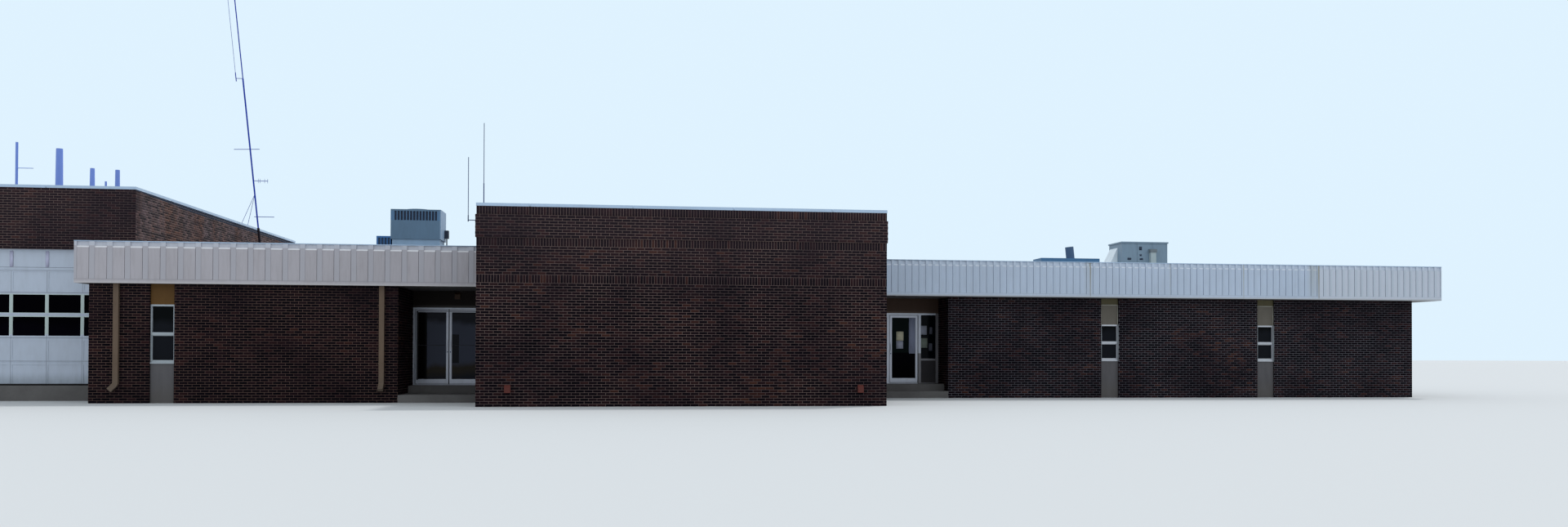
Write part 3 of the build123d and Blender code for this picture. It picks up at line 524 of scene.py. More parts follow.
@dataclass(frozen=True)
class FasciaFinish:
    """Painted ribbed sheet with a lighter cap band, joint lines, soot and rust runs.

    Attributes:
        name: Material name.
        colour: Colour of the clean sheet.
        stain: Colour of the stained sheet.
        cap: Colour of the band along the top.
        low: Level of the fascia's foot.
        high: Level of its top.
        cap_band: Height of the band along the top.
        streaks: The rust runs.
        joints: Places of the joint lines along X.
        warm_from: X from which the sheet is of a warmer colour.
        warm: That colour.
        rust: Colour of the rust runs.
        foot: Colour of the band along the foot.
        zones: Blocks of space with another colour.
        joint_colour: Colour of the joint lines.
        worn: Brightness of a zone's stains.
        drips: Fine upright drips.
        clouds: Wide soft patches.
        rust_reach: How far below the foot the rust's fading would end.
        joint_line: Half the width of a joint line.
        foot_edge: Heights over the foot between which the grimy band fades.
    """

    name: str
    colour: Colour
    stain: Colour
    cap: Colour
    low: float
    high: float
    cap_band: float
    streaks: tuple[Streak, ...] = ()
    joints: tuple[float, ...] = ()
    warm_from: float = 99.0
    warm: Colour = (0.5, 0.5, 0.5)
    rust: Colour = (0.300, 0.295, 0.235)
    foot: Colour = (0.33, 0.32, 0.32)
    zones: tuple[Zone, ...] = ()
    joint_colour: Colour = (0.12, 0.10, 0.09)
    worn: float = 0.85
    drips: Pattern = Pattern(26.0, 5.0, (1.0, 1.0, 0.12), 0.65)
    drip_ramp: Pair = (0.40, 0.72)
    clouds: Pattern = Pattern(1.1, 4.0)
    cloud_ramp: Pair = (0.35, 0.7)
    stain_share: float = 0.45
    warm_share: float = 0.6
    cap_share: float = 0.75
    cap_drips: float = 0.35
    rust_reach: float = 0.35
    rust_share: float = 0.4
    joint_line: float = 0.007
    joint_share: float = 0.7
    foot_edge: Pair = (0.006, 0.034)
    foot_share: float = 0.8

    def build(self) -> bpy.types.Material:
        """Make the material.

        Returns:
            The material.
        """
        g = Graph(self.name)
        drips, clouds = g.noise(self.drips), g.noise(self.clouds)
        stains = drips.rising(*self.drip_ramp) + clouds.rising(*self.cloud_ramp)
        body = g.mix(self.colour, self.stain, stains * self.stain_share)
        warm = g.x.rising(self.warm_from, self.warm_from + 0.01)
        body = g.mix(body, self.warm, warm * self.warm_share)
        for zone in self.zones:
            body = zone.over(g, body, self.worn, clouds)
        capped = g.z.rising(self.high - self.cap_band, self.high - self.cap_band + 0.004)
        body = g.mix(body, self.cap, capped * (self.cap_share - drips * self.cap_drips))
        rust = g.z.rising(self.low - self.rust_reach, self.high) * (self.rust_share + drips)
        for streak in self.streaks:
            run = 1.0 - abs(g.x - streak.x).rising(0.0, streak.width)
            body = g.mix(body, self.rust, run * rust * streak.strength)
        for joint in self.joints:
            near = 1.0 - abs(g.x - joint).rising(0.0, self.joint_line)
            body = g.mix(body, self.joint_colour, near * self.joint_share)
        under = 1.0 - g.z.rising(self.low + self.foot_edge[0], self.low + self.foot_edge[1])
        body = g.mix(body, self.foot, under * self.foot_share)
        return g.surface(Base_Color=body, Roughness=0.62, Specular_IOR_Level=0.3,
                         Normal=g.bump(clouds, 0.004, 0.5))


@dataclass(frozen=True)
class GlassFinish:
    """Dark window glass with a faint painted reflection of the pale ground and a grey horizon.

    Attributes:
        name: Material name.
        dark: Colour at the top and along the foot.
        pale: Colour over the middle.
        warm: Colour below the middle.
        low: Level at which the warm colour ends.
        middle: Level at which the pale colour is full.
        high: Level at which the pale colour ends.
        gloss: Specular level.
        zones: Blocks of space with another colour.
        ripple: The unevenness of all those levels.
        ripple_height: Its height.
        top_fade: Height over which the pale colour ends.
        foot_fade: Height over which the warm colour starts.
    """

    name: str
    dark: Colour = (0.0004, 0.0013, 0.0018)
    pale: Colour = (0.0062, 0.0075, 0.0110)
    warm: Colour = (0.0040, 0.0028, 0.0018)
    low: float = 0.35
    middle: float = 0.62
    high: float = 0.95
    gloss: float = 0.045
    zones: tuple[Zone, ...] = ()
    ripple: Pattern = Pattern(2.3, 3.0, (1.0, 1.0, 0.7))
    ripple_height: float = 0.25
    top_fade: float = 0.12
    foot_fade: float = 0.14

    def build(self) -> bpy.types.Material:
        """Make the material.

        Returns:
            The material.
        """
        g = Graph(self.name)
        level = g.z + (g.noise(self.ripple) - 0.5) * self.ripple_height
        colour = g.mix(self.warm, self.pale, level.rising(self.low, self.middle))
        colour = g.mix(colour, self.dark, level.rising(self.high, self.high + self.top_fade))
        colour = g.mix(self.dark, colour, level.rising(self.low - self.foot_fade, self.low))
        for zone in self.zones:
            colour = g.mix(colour, zone.colour, zone.mask(g))
        return g.surface(Base_Color=colour, Roughness=0.10, Specular_IOR_Level=self.gloss)


@dataclass(frozen=True)
class SurfaceFinish:
    """A rough mineral surface such as roofing felt or concrete.

    Attributes:
        name: Material name.
        colour: Colour of the clean surface.
        stain: Colour of the stained surface.
        lap: Width of the lapped sheets, or none.
        grain: Fine grain.
        patches: Wide stains.
        seam: Half the width of a lap's dark seam.
    """

    name: str
    colour: Colour
    stain: Colour
    lap: float = 0.0
    grain: Pattern = Pattern(40.0, 5.0, rough=0.65)
    grain_ramp: Pair = (0.5, 0.8)
    grain_share: float = 0.5
    patches: Pattern = Pattern(0.9, 5.0, rough=0.6)
    patch_ramp: Pair = (0.35, 0.68)
    seam: float = 0.012
    seam_share: float = 0.8

    def build(self) -> bpy.types.Material:
        """Make the material.

        Returns:
            The material.
        """
        g = Graph(self.name)
        grain = g.noise(self.grain)
        colour = g.mix(self.colour, self.stain, g.noise(self.patches).rising(*self.patch_ramp))
        colour = g.mix(colour, self.stain, grain.rising(*self.grain_ramp) * self.grain_share)
        if self.lap:
            seam = 1.0 - abs(g.x % self.lap - self.lap / 2).rising(0.0, self.seam)
            colour = g.mix(colour, self.stain, seam * self.seam_share)
        return g.surface(Base_Color=colour, Roughness=0.92, Specular_IOR_Level=0.2,
                         Normal=g.bump(grain, 0.002, 0.6))


# Meshes


class Facing(Enum):
    """The four ways a wall can face, each with its run to the viewer's right and its normal."""

    FRONT = ((1.0, 0.0, 0.0), (0.0, -1.0, 0.0))
    REAR = ((-1.0, 0.0, 0.0), (0.0, 1.0, 0.0))
    RIGHT = ((0.0, 1.0, 0.0), (1.0, 0.0, 0.0))
    LEFT = ((0.0, -1.0, 0.0), (-1.0, 0.0, 0.0))

    @property
    def along(self) -> np.ndarray:
        """Unit vector along the wall, to the viewer's right."""
        return np.array(self.value[0])

    @property
    def out(self) -> np.ndarray:
        """Unit vector out of the wall."""
        return np.array(self.value[1])


def mesh_object(name: str, points: np.ndarray, quads: np.ndarray, body: str = BODY,
                attributes: dict[str, np.ndarray] | None = None) -> bpy.types.Object:
    """Make a mesh object from quads and let it ride on a CAD body.

    Args:
        name: Piece name.
        points: Vertex places, one row each.
        quads: Vertex numbers, four to a row.
        body: CAD body that carries the piece.
        attributes: One number per face, by attribute name.

    Returns:
        The object.
    """
    mesh = bpy.data.meshes.new(name)
    mesh.vertices.add(len(points))
    mesh.vertices.foreach_set("co", points.astype(np.float32).ravel())
    mesh.loops.add(quads.size)
    mesh.loops.foreach_set("vertex_index", quads.astype(np.int32).ravel())
    mesh.polygons.add(len(quads))
    mesh.polygons.foreach_set("loop_start", np.arange(0, quads.size, 4, dtype=np.int32))
    for key, values in (attributes or {}).items():
        layer = mesh.attributes.new(key, "FLOAT", "FACE")
        layer.data.foreach_set("value", values.astype(np.float32))
    mesh.update(calc_edges=True)
    mesh.validate()
    made = bpy.data.objects.new(name, mesh)
    bpy.context.scene.collection.objects.link(made)
    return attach(made, body)


BOX_QUADS = np.array([(0, 3, 2, 1), (4, 5, 6, 7), (0, 1, 5, 4), (1, 2, 6, 5), (2, 3, 7, 6),
                      (3, 0, 4, 7)])


def boxes(name: str, limits: Sequence[Sequence[float]], body: str = BODY,
          bevel: float = 0.0) -> bpy.types.Object:
    """Make one piece from blocks.

    Args:
        name: Piece name.
        limits: For each block its x0, x1, y0, y1, z0 and z1.
        body: CAD body that carries the piece.
        bevel: Width of the rounded edges, or none.

    Returns:
        The object.
    """
    b = np.sort(np.asarray(limits, float).reshape(-1, 3, 2), axis=2)
    pick = np.array([(0, 0, 0), (1, 0, 0), (1, 1, 0), (0, 1, 0),
                     (0, 0, 1), (1, 0, 1), (1, 1, 1), (0, 1, 1)])
    points = np.stack([b[:, axis, :][:, pick[:, axis]] for axis in range(3)], axis=2)
    quads = BOX_QUADS[None] + 8 * np.arange(len(b))[:, None, None]
    made = mesh_object(name, points.reshape(-1, 3), quads.reshape(-1, 4), body)
    if bevel:
        modifier = made.modifiers.new("soft edges", "BEVEL")
        modifier.width = bevel
        modifier.segments = 2
    return made


def tube(name: str, route: Sequence[Sequence[float]], radius: float, sides: int = 16,
         body: str = BODY) -> bpy.types.Object:
    """Make a round tube with closed ends along straight lines between points.

    Each ring lies across the mean direction of its two neighbours. A ring's points run round the
    direction of travel, and a middle point closes each end.

    Args:
        name: Piece name.
        route: The points.
        radius: Radius of the tube.
        sides: Even number of points in a ring.
        body: CAD body that carries the piece.

    Returns:
        The object.
    """
    path = np.asarray(route, float)
    steps = np.diff(path, axis=0)
    steps /= np.linalg.norm(steps, axis=1)[:, None]
    heading = np.vstack([steps[:1], steps[1:] + steps[:-1], steps[-1:]])
    heading /= np.linalg.norm(heading, axis=1)[:, None]
    helper = np.where(abs(heading[:, 2:]) > 0.9, [[1.0, 0.0, 0.0]], [[0.0, 0.0, 1.0]])
    across = np.cross(heading, helper)
    across /= np.linalg.norm(across, axis=1)[:, None]
    upward = np.cross(heading, across)
    turn = np.linspace(0.0, 2 * math.pi, sides, endpoint=False)[None, :, None]
    rings = path[:, None] + radius * (np.cos(turn) * across[:, None]
                                      + np.sin(turn) * upward[:, None])
    count = len(path)
    points = np.vstack([rings.reshape(-1, 3), path[:1], path[-1:]])
    row, col = np.meshgrid(np.arange(count - 1), np.arange(sides), indexing="ij")
    after = (col + 1) % sides
    wall = np.stack([row * sides + col, row * sides + after, (row + 1) * sides + after,
                     (row + 1) * sides + col], axis=2).reshape(-1, 4)
    mid = np.arange(0, sides, 2)
    start = np.full(sides // 2, count * sides)
    base = (count - 1) * sides
    foot = np.stack([start, (mid + 2) % sides, mid + 1, mid], axis=1)
    head = np.stack([start + 1, base + mid, base + mid + 1, base + (mid + 2) % sides], axis=1)
    made = mesh_object(name, points, np.vstack([wall, foot, head]), body)
    made.data.polygons.foreach_set("use_smooth", np.repeat([True, False], [len(wall), sides]))
    return made


# The building's lines


@dataclass(frozen=True)
class Plan:
    """Lines and levels of the building, read from the CAD nodes' boxes.

    Attributes:
        centre: Left and right end of the centre block.
        left_wing: The same of the left wing's brick front.
        right_wing: The same of the right wing's brick front.
        station: The same of the station.
        y_centre: Front of the centre block.
        y_left: Front of the left wing.
        y_right: Front of the right wing.
        y_station: Front of the station.
        y_left_door: Face of the left entry's frame.
        y_right_door: Face of the right entry's frame.
        y_rear: The rear of them all.
        z_soffit: Foot of the fascias.
        z_fascia: Top of the fascias.
        z_roof: Top of the wings' roofs.
        z_centre: Top of the centre block's brick.
        z_station: Top of the station's brick.
        z_door: Head of the overhead doors.
        z_joint: The joint across the right wing's upper panels.
        doors: Left and right edge of each overhead door.
        left_bays: Left and right edge of each window bay in the left wing.
        right_bays: The same in the right wing.
    """

    centre: Pair
    left_wing: Pair
    right_wing: Pair
    station: Pair
    y_centre: float
    y_left: float
    y_right: float
    y_station: float
    y_left_door: float
    y_right_door: float
    y_rear: float
    z_soffit: float
    z_fascia: float
    z_roof: float
    z_centre: float
    z_station: float
    z_door: float
    z_joint: float
    doors: tuple[Pair, Pair]
    left_bays: tuple[Pair, ...]
    right_bays: tuple[Pair, ...]

    WALL = 0.15
    DOOR = 1.66
    JOINT = 1.395
    FLOOR = 0.2

    @classmethod
    def measure(cls) -> Plan:
        """Read the plan from the loaded CAD nodes.

        Returns:
            The plan.
        """
        wall = cls.WALL
        centre_low, centre_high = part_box("centre_roof")
        left_low, left_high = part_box("left_wing_front_wall")
        right_low, right_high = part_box("right_wing_front_wall")
        station_low, station_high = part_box("station_side_walls")
        lintel_low, lintel_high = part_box("station_lintel")
        fascia_low, fascia_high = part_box("left_fascia_front")
        frame_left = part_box("left_entry_frame")[0]
        frame_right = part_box("right_entry_frame")[0]
        panels = Plan.bay_edges("lower_panels")
        door = cls.DOOR
        return cls(
            centre=(centre_low.x - wall, centre_high.x + wall),
            left_wing=(left_low.x, left_high.x), right_wing=(right_low.x, right_high.x),
            station=(station_low.x, station_high.x),
            y_centre=centre_low.y - wall, y_left=left_low.y, y_right=right_low.y,
            y_station=lintel_low.y, y_left_door=frame_left.y, y_right_door=frame_right.y,
            y_rear=centre_high.y + wall, z_soffit=fascia_low.z, z_fascia=fascia_high.z,
            z_roof=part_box("left_wing_roof")[1].z, z_centre=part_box("centre_front_wall")[1].z,
            z_station=station_high.z, z_door=lintel_low.z, z_joint=cls.JOINT,
            doors=((lintel_low.x, lintel_low.x + door), (lintel_high.x - door, lintel_high.x)),
            left_bays=tuple(p for p in panels if p[1] < centre_low.x),
            right_bays=tuple(p for p in panels if p[0] > right_low.x))

    @staticmethod
    def corners(node: str) -> np.ndarray:
        """Give the places of all corners of a node's mesh.

        Args:
            node: CAD node.

        Returns:
            The places, one row each.
        """
        mesh = bpy.data.objects[node].data
        places = np.empty(len(mesh.vertices) * 3, np.float32)
        mesh.vertices.foreach_get("co", places)
        return places.reshape(-1, 3).astype(float)

    @staticmethod
    def bay_edges(node: str) -> list[Pair]:
        """List the left and right edges of the panels that stand on the ground."""
        places = Plan.corners(node)
        edges = np.unique(places[places[:, 2] < 0.01][:, 0].round(4))
        return [(float(a), float(b)) for a, b in zip(edges[::2], edges[1::2])]

    @staticmethod
    def part_box(node: str, x: Pair) -> tuple[np.ndarray, np.ndarray]:
        """Give the box of the part of a node that lies inside a range of X.

        Args:
            node: CAD node.
            x: The range.

        Returns:
            The low and the high corner.
        """
        places = Plan.corners(node)
        inside = places[(places[:, 0] > x[0] - 0.001) & (places[:, 0] < x[1] + 0.001)]
        return inside.min(axis=0), inside.max(axis=0)


# Workshop


class Finish(Protocol):
    """Anything that makes a named material."""

    @property
    def name(self) -> str:
        """The material's name."""

    def build(self) -> bpy.types.Material:
        """Make the material."""


@dataclass
class Workshop:
    """The CAD nodes and the materials made so far.

    Attributes:
        nodes: The loaded CAD nodes by name.
        slots: Each node's material slot by the node's name.
        made: The materials by name, each made at its first use.
    """

    nodes: dict[str, bpy.types.Object]
    slots: dict[str, str]
    made: dict[str, bpy.types.Material] = field(default_factory=dict)

    def coat(self, target: bpy.types.Object, finish: Finish) -> None:
        """Give one object its finish.

        Args:
            target: A CAD node or an added piece.
            finish: The finish, whose material is made at its first use.
        """
        if finish.name not in self.made:
            self.made[finish.name] = finish.build()
        target.data.materials.clear()
        target.data.materials.append(self.made[finish.name])

    def coat_nodes(self, finish: Finish, *names: str) -> None:
        """Give CAD nodes a finish."""
        for name in names:
            self.coat(self.nodes[name], finish)

    def coat_slot(self, finish: Finish, slot: str) -> None:
        """Give all CAD nodes of a material slot a finish."""
        self.coat_nodes(finish, *(node for node, own in self.slots.items() if own == slot))

    def add(self, piece: bpy.types.Object, finish: Finish) -> None:
        """Give an added piece its finish and report it."""
        self.coat(piece, finish)
        LOG.info("%s: %d faces, %s", piece.name, len(piece.data.polygons), finish.name)


@dataclass(frozen=True)
class Assembly:
    """A part of the building that dresses its CAD nodes and adds its own small pieces."""

    plan: Plan
    shop: Workshop


# Brickwork


class Laying(Enum):
    """How the bricks of a patch stand."""

    STRETCHER = "stretcher"
    SOLDIER = "soldier"


@dataclass(frozen=True)
class Patch:
    """A rectangle of brickwork on one wall plane.

    Attributes:
        facing: The way the wall faces.
        start: X and Y of the left end as seen from outside.
        length: Length to the viewer's right.
        low: Level of the foot.
        high: Level of the top.
        laying: Stretchers or soldiers.
        phase: Shift of the bond, so that neighbouring patches line up.
        wrap: Whether the bricks close the outer corners at the left and the right end.
    """

    facing: Facing
    start: Pair
    length: float
    low: float
    high: float
    laying: Laying = Laying.STRETCHER
    phase: float = 0.0
    wrap: tuple[bool, bool] = (False, False)


@dataclass(frozen=True)
class Brickwork:
    """Standard bricks in running bond, standing a little proud of their mortar.

    Attributes:
        course: Height of a course with its joint.
        module: Length of a brick with its joint.
        joint: Width of a joint.
        relief: How far a brick stands out.
        edge: Width of its worn edges.
        shortest: Length below which a cut brick is left out.
        base: Lowest share of a fresh brick's tone, as the first shape number of its draw.
        tail: The draw's second shape number.
    """

    course: float = 0.033867
    module: float = 0.1016
    joint: float = 0.0048
    relief: float = 0.0022
    edge: float = 0.0009
    shortest: float = 0.010
    base: float = 1.2
    tail: float = 1.5

    def rectangles(self, patch: Patch) -> np.ndarray:
        """Lay out a patch.

        The patch is split into whole courses. Every second course is shifted by half a brick.
        Each brick is the cell less half a joint on every side, and the ends are cut bricks.

        Args:
            patch: The rectangle to fill.

        Returns:
            For each brick its left, right, foot and top.
        """
        soldier = patch.laying is Laying.SOLDIER
        step_u = self.course if soldier else self.module
        rows = 1 if soldier else max(1, round((patch.high - patch.low) / self.course))
        step_v = (patch.high - patch.low) / rows
        columns = int(patch.length / step_u) + 3
        row, column = np.meshgrid(np.arange(rows), np.arange(columns), indexing="ij")
        left = (column - 1 + 0.5 * (row % 2)) * step_u - patch.phase % step_u
        foot = patch.low + row * step_v
        gap = self.joint / 2
        ends = (-self.relief if patch.wrap[0] else 0.0,
                patch.length + (self.relief if patch.wrap[1] else 0.0))
        u0 = np.clip(left + gap, *ends)
        u1 = np.clip(left + step_u - gap, *ends)
        rects = np.stack([u0, u1, foot + gap, foot + step_v - gap], axis=-1).reshape(-1, 4)
        return rects[rects[:, 1] - rects[:, 0] > self.shortest]

    def points(self, patch: Patch, rects: np.ndarray) -> np.ndarray:
        """Place eight corners for each brick: four on the wall and four on its face.

        A corner is the patch's start, plus its way along the wall, plus its height, plus the
        relief out of the wall for the four of the face, which are drawn in by the worn edge.

        Args:
            patch: The rectangle of brickwork.
            rects: Each brick's left, right, foot and top.

        Returns:
            The corners, eight rows to a brick.
        """
        u = rects[:, [0, 1, 1, 0]]
        v = rects[:, [2, 2, 3, 3]]
        inset = self.edge * np.array([1.0, -1.0, -1.0, 1.0])
        lift = self.edge * np.array([1.0, 1.0, -1.0, -1.0])
        along = np.concatenate([u, u + inset], axis=1)
        level = np.concatenate([v, v + lift], axis=1)
        depth = np.repeat([0.0, self.relief], 4)
        origin = np.array([patch.start[0], patch.start[1], 0.0])
        return (origin + along[..., None] * patch.facing.along
                + depth[None, :, None] * patch.facing.out
                + level[..., None] * np.array([0.0, 0.0, 1.0])).reshape(-1, 3)

    def lay(self, name: str, patches: Sequence[Patch], seed: int,
            faded: float) -> bpy.types.Object:
        """Build all the patches of one wall as one piece with a tone for every brick.

        Args:
            name: Piece name.
            patches: The wall's rectangles.
            seed: Seed of the tones.
            faded: How much painted light the wall gets; below zero, painted shade.

        Returns:
            The piece.
        """
        places = np.vstack([self.points(patch, self.rectangles(patch)) for patch in patches])
        count = len(places) // 8
        quads = (BRICK_QUADS[None] + 8 * np.arange(count)[:, None, None]).reshape(-1, 4)
        tones = np.random.default_rng(seed).beta(self.base, self.tail, count)
        return mesh_object(name, places, quads, attributes={
            "tone": np.repeat(tones, 5), "faded": np.full(count * 5, faded)})


BRICK_QUADS = np.array([(4, 5, 6, 7), (0, 1, 5, 4), (1, 2, 6, 5), (2, 3, 7, 6), (3, 0, 4, 7)])


@dataclass(frozen=True)
class Masonry(Assembly):
    """All brick walls of the building: the CAD walls as mortar and the bricks on them.

    Attributes:
        work: The bricks and their bond.
        corbel: How far the band below the centre block's top stands out.
        soldier: Height of a soldier course.
        skirt: How far the coping comes down over the brick.
        band: Height of the corbelled band.
        low_soldier: Level of the centre block's lower soldier course.
        reveal: Depth of the brick returns beside the windows.
        door_reveal: The same beside the overhead doors.
    """

    work: Brickwork = Brickwork()
    corbel: float = 0.012
    soldier: float = 0.1
    skirt: float = 0.022
    band: float = 0.272
    low_soldier: float = 1.474
    reveal: float = 0.03
    door_reveal: float = 0.05

    # Painted light by wall: the sunlit station side lighter, the shaded left wing front darker and
    # the right wing front a little darker.
    PAINTED_LIGHT = {"station_right": 0.9, "left_wing_front": -0.5, "right_wing_front": -0.1}
    MORTARS = {
        "right_wing_front_wall": MortarFinish("cool_mortar", (0.150, 0.147, 0.166),
                                              (0.078, 0.076, 0.088)),
        "left_wing_front_wall": MortarFinish("shaded_mortar", (0.135, 0.085, 0.070),
                                             (0.058, 0.037, 0.034)),
        "station_side_walls": MortarFinish("lit_mortar", (0.300, 0.235, 0.205),
                                           (0.170, 0.125, 0.110))}

    def centre_levels(self) -> Iterator[tuple[float, float, Laying, float]]:
        """Give the centre block's zones from the ground up, each with how far it stands out.

        Yields:
            Each zone's foot, top, laying and stand-out.
        """
        top = self.plan.z_centre - self.skirt
        band_top = top - self.soldier
        band_foot = band_top - self.band
        yield 0.0, self.low_soldier, Laying.STRETCHER, 0.0
        yield self.low_soldier, self.low_soldier + self.soldier, Laying.SOLDIER, 0.0
        yield self.low_soldier + self.soldier, band_foot - self.soldier, Laying.STRETCHER, 0.0
        yield band_foot - self.soldier, band_foot, Laying.SOLDIER, 0.0
        yield band_foot, band_top, Laying.STRETCHER, self.corbel
        yield band_top, top, Laying.SOLDIER, 0.0

    def centre_face(self, facing: Facing, start: Pair, length: float, low: float,
                    wrap: tuple[bool, bool]) -> list[Patch]:
        """Give the patches of one face of the centre block above a level.

        Args:
            facing: The way the face looks.
            start: X and Y of its left end as seen from outside.
            length: Its length.
            low: Level of its foot.
            wrap: Whether its outer corners are closed.

        Returns:
            The patches.
        """
        patches = []
        for foot, top, laying, proud in self.centre_levels():
            if top <= low + 0.01:
                continue
            left, right = (proud if closed else 0.0 for closed in wrap)
            shift = proud * facing.out - left * facing.along
            place = (start[0] + shift[0], start[1] + shift[1])
            patches.append(Patch(facing, place, length + left + right, max(foot, low), top, laying,
                                 0.0, wrap))
        return patches

    def row(self, facing: Facing, start: Pair, length: float, low: float, high: float,
            gaps: Sequence[Pair] = (), wrap: tuple[bool, bool] = (False, False)) -> list[Patch]:
        """Give the patches of a wall beside its openings, with one bond running through.

        Args:
            facing: The way the wall faces.
            start: X and Y of its left end as seen from outside.
            length: Its whole length.
            low: Level of its foot.
            high: Level of its top.
            gaps: Openings as pairs of distances from the left end.
            wrap: Whether the outer corners are closed.

        Returns:
            The patches.
        """
        edges = [0.0, *(edge for gap in sorted(gaps) for edge in gap), length]
        run = facing.along
        spans = list(zip(edges[::2], edges[1::2]))
        patches = []
        for number, (a, b) in enumerate(spans):
            if b - a < self.work.shortest:
                continue
            closed = (wrap[0] and number == 0, wrap[1] and number == len(spans) - 1)
            place = (start[0] + run[0] * a, start[1] + run[1] * a)
            patches.append(Patch(facing, place, b - a, low, high, Laying.STRETCHER, a, closed))
        return patches

    def walls(self) -> dict[str, list[Patch]]:
        """List the patches of every wall by piece name.

        Returns:
            The patches.
        """
        p = self.plan
        (cx0, cx1), (lx0, lx1), (rx0, rx1), (sx0, sx1) = (p.centre, p.left_wing, p.right_wing,
                                                          p.station)
        both, rear = (True, True), p.y_rear
        depth = rear - p.y_centre
        station_top = p.z_station - self.skirt
        walls: dict[str, list[Patch]] = {}
        walls["centre_front"] = self.centre_face(Facing.FRONT, (cx0, p.y_centre), cx1 - cx0, 0.0,
                                                 both)
        walls["centre_rear"] = self.centre_face(Facing.REAR, (cx1, rear), cx1 - cx0, 0.0, both)
        left_porch = p.y_left_door - p.y_centre
        right_porch = p.y_right_door - p.y_centre
        plain = (False, False)
        walls["centre_left"] = [
            *self.centre_face(Facing.LEFT, (cx0, p.y_left_door), left_porch, 0.0, plain),
            *self.centre_face(Facing.LEFT, (cx0, rear), depth - left_porch, p.z_roof, plain)]
        walls["centre_right"] = [
            *self.centre_face(Facing.RIGHT, (cx1, p.y_centre), right_porch, 0.0, plain),
            *self.centre_face(Facing.RIGHT, (cx1, p.y_right_door), depth - right_porch, p.z_roof,
                              plain)]
        bays = [(a - lx0, b - lx0) for a, b in p.left_bays]
        walls["left_wing_front"] = self.row(Facing.FRONT, (lx0, p.y_left), lx1 - lx0, 0.0,
                                            p.z_soffit, bays, both)
        walls["left_wing_end"] = self.row(Facing.LEFT, (lx0, p.y_station),
                                          p.y_station - p.y_left, 0.0, p.z_soffit)
        bays = [(cx0 - b, cx0 - a) for a, b in p.left_bays]
        walls["left_wing_rear"] = self.row(Facing.REAR, (cx0, rear), cx0 - sx1, 0.0, p.z_soffit,
                                           bays)
        bays = [(a - rx0, b - rx0) for a, b in p.right_bays]
        walls["right_wing_front"] = self.row(Facing.FRONT, (rx0, p.y_right), rx1 - rx0, 0.0,
                                             p.z_soffit, bays, both)
        bays = [(rx1 - b, rx1 - a) for a, b in p.right_bays]
        walls["right_wing_rear"] = self.row(Facing.REAR, (rx1, rear), rx1 - cx1, 0.0, p.z_soffit,
                                            bays, (True, False))
        walls["right_wing_end"] = self.row(Facing.RIGHT, (rx1, p.y_right), rear - p.y_right, 0.0,
                                           p.z_soffit)
        walls["porch_sides"] = [
            *self.row(Facing.RIGHT, (lx1, p.y_left), p.y_left_door - p.y_left, 0.0, p.z_soffit),
            *self.row(Facing.LEFT, (rx0, p.y_right_door), p.y_right_door - p.y_right, 0.0,
                      p.z_soffit)]
        doors = [(a - sx0, b - sx0) for a, b in p.doors]
        walls["station_front"] = [
            *self.row(Facing.FRONT, (sx0, p.y_station), sx1 - sx0, 0.0, p.z_door, doors, both),
            *self.row(Facing.FRONT, (sx0, p.y_station), sx1 - sx0, p.z_door, station_top, (),
                      both)]
        walls["station_rear"] = self.row(Facing.REAR, (sx1, rear), sx1 - sx0, 0.0, station_top, (),
                                         both)
        walls["station_left"] = self.row(Facing.LEFT, (sx0, rear), rear - p.y_station, 0.0,
                                         station_top)
        walls["station_right"] = self.row(Facing.RIGHT, (sx1, p.y_station), rear - p.y_station,
                                          p.z_roof, station_top)
        walls["bay_reveals"] = list(self.reveals())
        return walls

    def reveals(self) -> Iterator[Patch]:
        """Give the narrow brick returns at both sides of every window bay and overhead door.

        Yields:
            The patches.
        """
        p = self.plan
        deep, door_deep = self.reveal, self.door_reveal
        for bays, y in ((p.left_bays, p.y_left), (p.right_bays, p.y_right)):
            for a, b in bays:
                yield Patch(Facing.RIGHT, (a, y), deep, 0.0, p.z_soffit)
                yield Patch(Facing.LEFT, (b, y + deep), deep, 0.0, p.z_soffit)
                yield Patch(Facing.RIGHT, (a, p.y_rear - deep), deep, 0.0, p.z_soffit)
                yield Patch(Facing.LEFT, (b, p.y_rear), deep, 0.0, p.z_soffit)
        for a, b in p.doors:
            yield Patch(Facing.RIGHT, (a, p.y_station), door_deep, p.FLOOR, p.z_door)
            yield Patch(Facing.LEFT, (b, p.y_station + door_deep), door_deep, p.FLOOR, p.z_door)

    def build(self) -> None:
        """Dress the CAD walls as mortar and lay the bricks of every wall."""
        plan = self.plan
        self.shop.coat_slot(MortarFinish(), "brick")
        for node, mortar in self.MORTARS.items():
            self.shop.coat_nodes(mortar, node)
        brick = BrickFinish(eaves=plan.z_station - self.skirt, corner=plan.y_station)
        for seed, (name, patches) in enumerate(self.walls().items()):
            made = self.work.lay(f"bricks_{name}", patches, seed, self.PAINTED_LIGHT.get(name, 0.0))
            self.shop.add(made, brick)


# Roofs and fascias


COPING = Paint("coping", (0.435, 0.565, 0.73), (0.35, 0.44, 0.55), 0.4, 0.45, gloss=0.25)
DARK_METAL = Paint("dark_metal", (0.016, 0.036, 0.140), (0.010, 0.022, 0.085), 0.5, 0.5, gloss=0.1)
BLACK_GLASS = GlassFinish("black_glass", (0.0004, 0.0003, 0.0012), (0.0010, 0.0007, 0.0026),
                          (0.0006, 0.0004, 0.0012), gloss=0.008)


